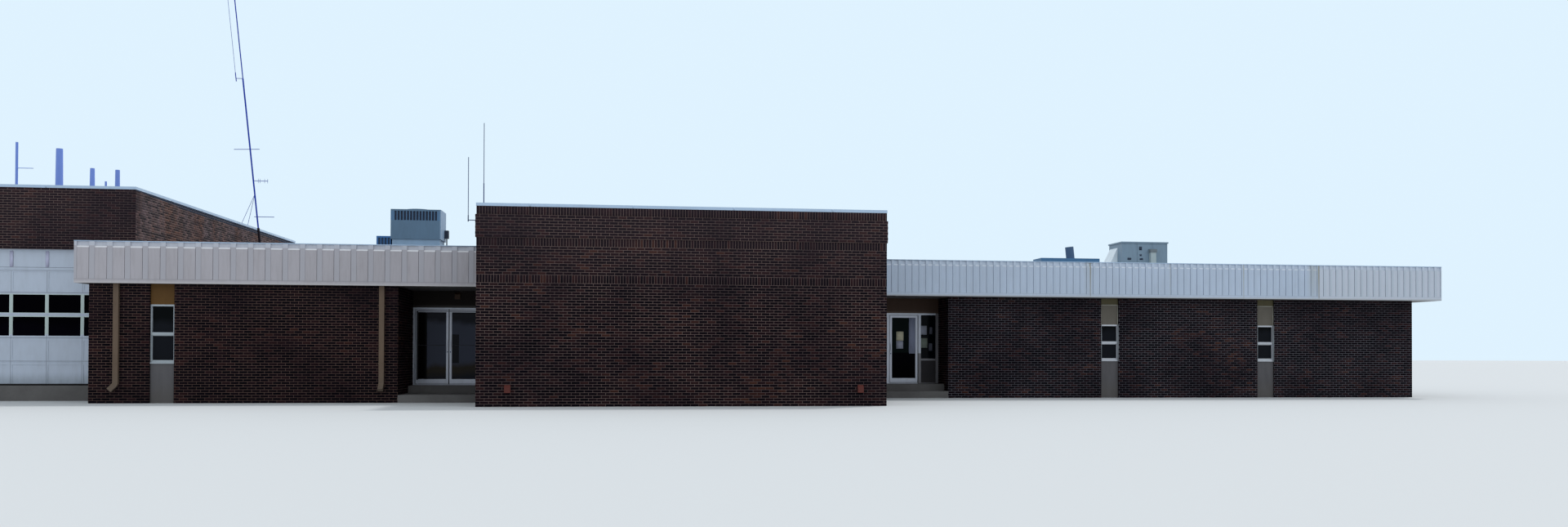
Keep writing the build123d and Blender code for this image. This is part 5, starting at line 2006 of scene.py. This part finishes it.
@dataclass(frozen=True)
class RoofGear(Assembly):
    """The units, duct, flues, mast and aerials on the roofs.

    Attributes:
        curb: Height of the left unit's curb over the wing roof.
        case: Height of the top of its case.
        louvre: The louvre field's foot and top below the top of the case.
        box_louvre: The same for the side box, below its own top.
        back: Depths between which the dark backs of the louvres lie.
        post: Distances of the corner post's edges from the unit's right end.
        hood: Width of the right unit's hood.
        hood_drop: Room between the hood's top and the unit's own.
        front: Depth of the right unit's front behind its flue box.
        flue: Height of the flue box over the wing roof.
        flue_cap: Height of its cap.
        mast_foot: Height of the mast's dark foot over the wing roof.
        vent: Half the thickness of the vents.
        vent_left: Where the vents' places start from the unit's left end.
        vent_foot: Where their levels start over the wing roof.
    """

    curb: float = 0.427
    case: float = 0.870
    louvre: Pair = (0.163, 0.024)
    box_louvre: Pair = (0.166, 0.024)
    back: Pair = (0.012, 0.017)
    post: Pair = (0.072, 0.057)
    hood: float = 0.1505
    hood_drop: float = 0.09
    front: float = 0.092
    flue: float = 0.593
    flue_cap: float = 0.062
    mast_foot: float = 0.83
    vent: float = 0.004
    vent_left: float = 0.150
    vent_foot: float = 0.100

    VENTS = (((0.105, 0.175), (0.360, 0.395)), ((0.335, 0.395), (0.360, 0.390)),
             ((0.325, 0.375), (0.535, 0.600)), ((0.335, 0.370), (0.430, 0.460)),
             ((0.585, 0.615), (0.350, 0.450)))
    PLAIN = {
        "roof_duct": Paint("duct", (0.058, 0.180, 0.350), (0.042, 0.12, 0.25), 0.5),
        "vent_stack": Paint("vent_metal", (0.074, 0.135, 0.240), (0.055, 0.10, 0.175), 0.5, 0.5,
                            gloss=0.2),
        "station_vents": Paint("flue_metal", (0.205, 0.320, 0.790), (0.14, 0.225, 0.58), 0.5,
                               0.5, gloss=0.2),
        "whip_antennas": DARK_METAL}
    SHADE = Paint("unit_shade", (0.035, 0.050, 0.085), (0.025, 0.035, 0.06), 0.4, gloss=0.2)

    def left_unit(self) -> Paint:
        """Give the left unit's paint: lighter curb and post, dark louvre backs and fan.

        Returns:
            The paint.
        """
        low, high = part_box("left_roof_unit")
        top = self.plan.z_roof + self.case
        field_z = (top - self.louvre[0], top - self.louvre[1])
        near, far = self.back
        dark, post = (0.004, 0.018, 0.052), (high.x - self.post[0], high.x - self.post[1])
        return Paint(
            "left_unit", (0.104, 0.190, 0.290), (0.070, 0.125, 0.190), 0.5,
            zones=(Zone((0.260, 0.395, 0.560), z=(0.0, self.plan.z_roof + self.curb)),
                   Zone((0.082, 0.185, 0.330), y=(low.y - 0.01, low.y + near - 0.0005), z=field_z),
                   Zone((0.235, 0.345, 0.490), x=post),
                   Zone(dark, y=(low.y + near, low.y + far), z=field_z),
                   Zone(dark, y=(high.y - far, high.y - near), z=field_z),
                   Zone((0.016, 0.026, 0.055), x=(post[1], high.x + 0.01))))

    def side_box(self) -> Paint:
        """Give the side box's paint with its dark louvre back.

        Returns:
            The paint.
        """
        low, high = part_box("side_roof_box")
        return Paint(
            "side_box", (0.034, 0.148, 0.385), (0.026, 0.115, 0.30), 0.5,
            zones=(Zone((0.010, 0.042, 0.100), y=(low.y + self.back[0], low.y + self.back[1]),
                        z=(high.z - self.box_louvre[0], high.z - self.box_louvre[1])),))

    def right_unit(self) -> Paint:
        """Give the right unit's paint: near-white hood with a painted highlight, pale flue box and
        dark flue cap.

        Returns:
            The paint.
        """
        low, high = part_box("right_roof_unit")
        proud = (low.y - 0.01, low.y + self.front - 0.002)
        cap = self.plan.z_roof + self.flue
        return Paint(
            "right_unit", (0.222, 0.322, 0.420), (0.150, 0.217, 0.282), 0.6,
            # The hood's near-white is partly its own pale sheet and partly a painted highlight of
            # the sun.
            zones=(Zone((0.84, 0.94, 1.0), x=(low.x - 0.01, low.x + self.hood - 0.002),
                        z=(0.0, high.z - self.hood_drop)),
                   Zone((0.44, 0.54, 0.57), y=proud, z=(0.0, cap)),
                   Zone((0.170, 0.210, 0.235), y=proud, z=(cap, cap + self.flue_cap))))

    def mast(self) -> Paint:
        """Give the mast's blue metal with its dark foot.

        Returns:
            The paint.
        """
        return Paint("mast_metal", (0.020, 0.055, 0.420), (0.014, 0.035, 0.27), 0.5, 0.5,
                     gloss=0.1,
                     zones=(Zone((0.010, 0.007, 0.012),
                                 z=(0.0, self.plan.z_roof + self.mast_foot)),))

    def vents(self) -> Iterator[Block]:
        """Give the small vents and the catch on the front of the right unit.

        Yields:
            The blocks.
        """
        low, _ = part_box("right_roof_unit")
        left, face = low.x + self.vent_left, low.y + self.front
        foot = self.plan.z_roof + self.vent_foot
        for (x0, x1), (z0, z1) in self.VENTS:
            yield (left + x0, left + x1, face - self.vent, face + self.vent, foot + z0, foot + z1)

    def build(self) -> None:
        """Dress everything on the roofs and add the vents."""
        for node, finish in self.PLAIN.items():
            self.shop.coat_nodes(finish, node)
        self.shop.coat_nodes(self.left_unit(), "left_roof_unit")
        self.shop.coat_nodes(self.side_box(), "side_roof_box")
        self.shop.coat_nodes(self.right_unit(), "right_roof_unit")
        self.shop.coat_nodes(self.mast(), "radio_mast")
        self.shop.add(boxes("roof_unit_vents", list(self.vents())), self.SHADE)


# Studio and camera


@dataclass(frozen=True)
class Studio:
    """Plain pale floor, pale backdrop, soft sky light and a high lamp behind the building.

    Attributes:
        floor_size: Length of the floor's sides.
        floor_colour: Colour of the floor.
        backdrop: Colour the camera sees behind the building.
        sky: Colour of the soft light.
        sky_strength: Its strength.
        sun_strength: Strength of the lamp.
        sun_from: Direction from the building to the lamp.
        sun_angle: Width of the lamp as seen from the ground.
    """

    floor_size: float = 400.0
    floor_colour: Colour = (0.56, 0.57, 0.57)
    backdrop: Colour = (0.74, 0.89, 1.0)
    sky: Colour = (0.86, 0.93, 1.0)
    sky_strength: float = 1.0
    sun_strength: float = 1.3
    sun_from: Triple = (0.38, 0.30, 0.88)
    sun_angle: float = math.radians(4.0)

    def build(self) -> None:
        """Make the floor, the world and the lamp."""
        half = self.floor_size / 2
        points = np.array([(-half, -half, 0), (half, -half, 0), (half, half, 0), (-half, half, 0)])
        floor = mesh_object("studio_floor", points, np.array([(0, 1, 2, 3)]))
        floor.parent = None
        graph = Graph("studio_floor")
        floor.data.materials.append(graph.surface(Base_Color=self.floor_colour, Roughness=0.95))
        self.light()
        self.world()

    def light(self) -> None:
        """Add the lamp, so high and far back that the front stays in even shade."""
        data = bpy.data.lights.new("sun", "SUN")
        data.energy = self.sun_strength
        data.angle = self.sun_angle
        lamp = bpy.data.objects.new("sun", data)
        lamp.rotation_mode = "QUATERNION"
        lamp.rotation_quaternion = Vector(self.sun_from).to_track_quat("Z", "Y")
        bpy.context.scene.collection.objects.link(lamp)

    def world(self) -> None:
        """Show the backdrop to the camera and through glass, and light by the softer sky."""
        world = bpy.data.worlds.new("studio")
        world.use_nodes = True
        nodes, links = world.node_tree.nodes, world.node_tree.links
        nodes.clear()
        path = nodes.new("ShaderNodeLightPath")
        seen = nodes.new("ShaderNodeMath")
        seen.operation = "MAXIMUM"
        links.new(path.outputs["Is Camera Ray"], seen.inputs[0])
        links.new(path.outputs["Is Transmission Ray"], seen.inputs[1])
        backdrop = nodes.new("ShaderNodeBackground")
        backdrop.inputs["Color"].default_value = (*self.backdrop, 1.0)
        backdrop.inputs["Strength"].default_value = 1.0
        sky = nodes.new("ShaderNodeBackground")
        sky.inputs["Color"].default_value = (*self.sky, 1.0)
        sky.inputs["Strength"].default_value = self.sky_strength
        blend = nodes.new("ShaderNodeMixShader")
        links.new(seen.outputs[0], blend.inputs[0])
        links.new(sky.outputs[0], blend.inputs[1])
        links.new(backdrop.outputs[0], blend.inputs[2])
        output = nodes.new("ShaderNodeOutputWorld")
        links.new(blend.outputs[0], output.inputs["Surface"])
        bpy.context.scene.world = world


@dataclass(frozen=True)
class Viewpoint:
    """The camera that took the photograph, fitted to the building's lines.

    Attributes:
        place: Its place in real metres from the centre block's left front corner at floor level.
        yaw: Turn to the right of square on, in radians.
        pitch: Tilt upwards.
        roll: Turn about its own axis.
        focal: Focal length in the photograph's pixels.
        centre_row: Row of the optical centre.
        frame: The photograph's width and height in pixels.
        scale: The model's share of the real size.
        sensor: Width of the sensor in millimetres.
        reach: Distance up to which the camera sees.
    """

    place: Triple = (3.606, -28.987, 0.842)
    yaw: float = 0.1288
    pitch: float = 0.0116
    roll: float = 0.0030
    focal: float = 1462.7
    centre_row: float = 418.06
    frame: Pair = (1920.0, 645.0)
    scale: float = 0.5
    sensor: float = 36.0
    reach: float = 500.0

    def build(self, plan: Plan) -> bpy.types.Object:
        """Make the scene's camera.

        Args:
            plan: The building's lines.

        Returns:
            The camera.
        """
        data = bpy.data.cameras.new("camera")
        data.sensor_fit = "HORIZONTAL"
        data.sensor_width = self.sensor
        data.lens = self.sensor * self.focal / self.frame[0]
        data.shift_y = (self.centre_row - self.frame[1] / 2) / self.frame[0]
        data.clip_end = self.reach
        camera = bpy.data.objects.new("camera", data)
        x, y, z = (value * self.scale for value in self.place)
        camera.location = (plan.centre[0] + x, plan.y_centre + y, plan.FLOOR + z)
        turn = Euler((math.pi / 2 + self.pitch, 0.0, -self.yaw)).to_matrix()
        camera.rotation_euler = (turn @ Matrix.Rotation(self.roll, 3, "Z")).to_euler()
        bpy.context.scene.collection.objects.link(camera)
        bpy.context.scene.camera = camera
        return camera


def main() -> None:
    """Load the frame, build the assemblies in order and set up the view."""
    logging.basicConfig(level=logging.INFO, format="%(name)s: %(message)s")
    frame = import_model()
    plan = Plan.measure()
    LOG.info("plan: %s", plan)
    slots = {row["node"]: row["material_slot"] for row in frame["record"]["subparts"]}
    shop = Workshop(frame["nodes"], slots)
    for assembly in (Masonry, Roofs, Fascias, OverheadDoors, WindowBays, Entries, RoofGear):
        assembly(plan, shop).build()
        LOG.info("%s: done", assembly.__name__)
    Studio().build()
    Viewpoint().build(plan)
    bpy.context.scene.view_settings.view_transform = "Standard"


if __name__ == "__main__":
    main()
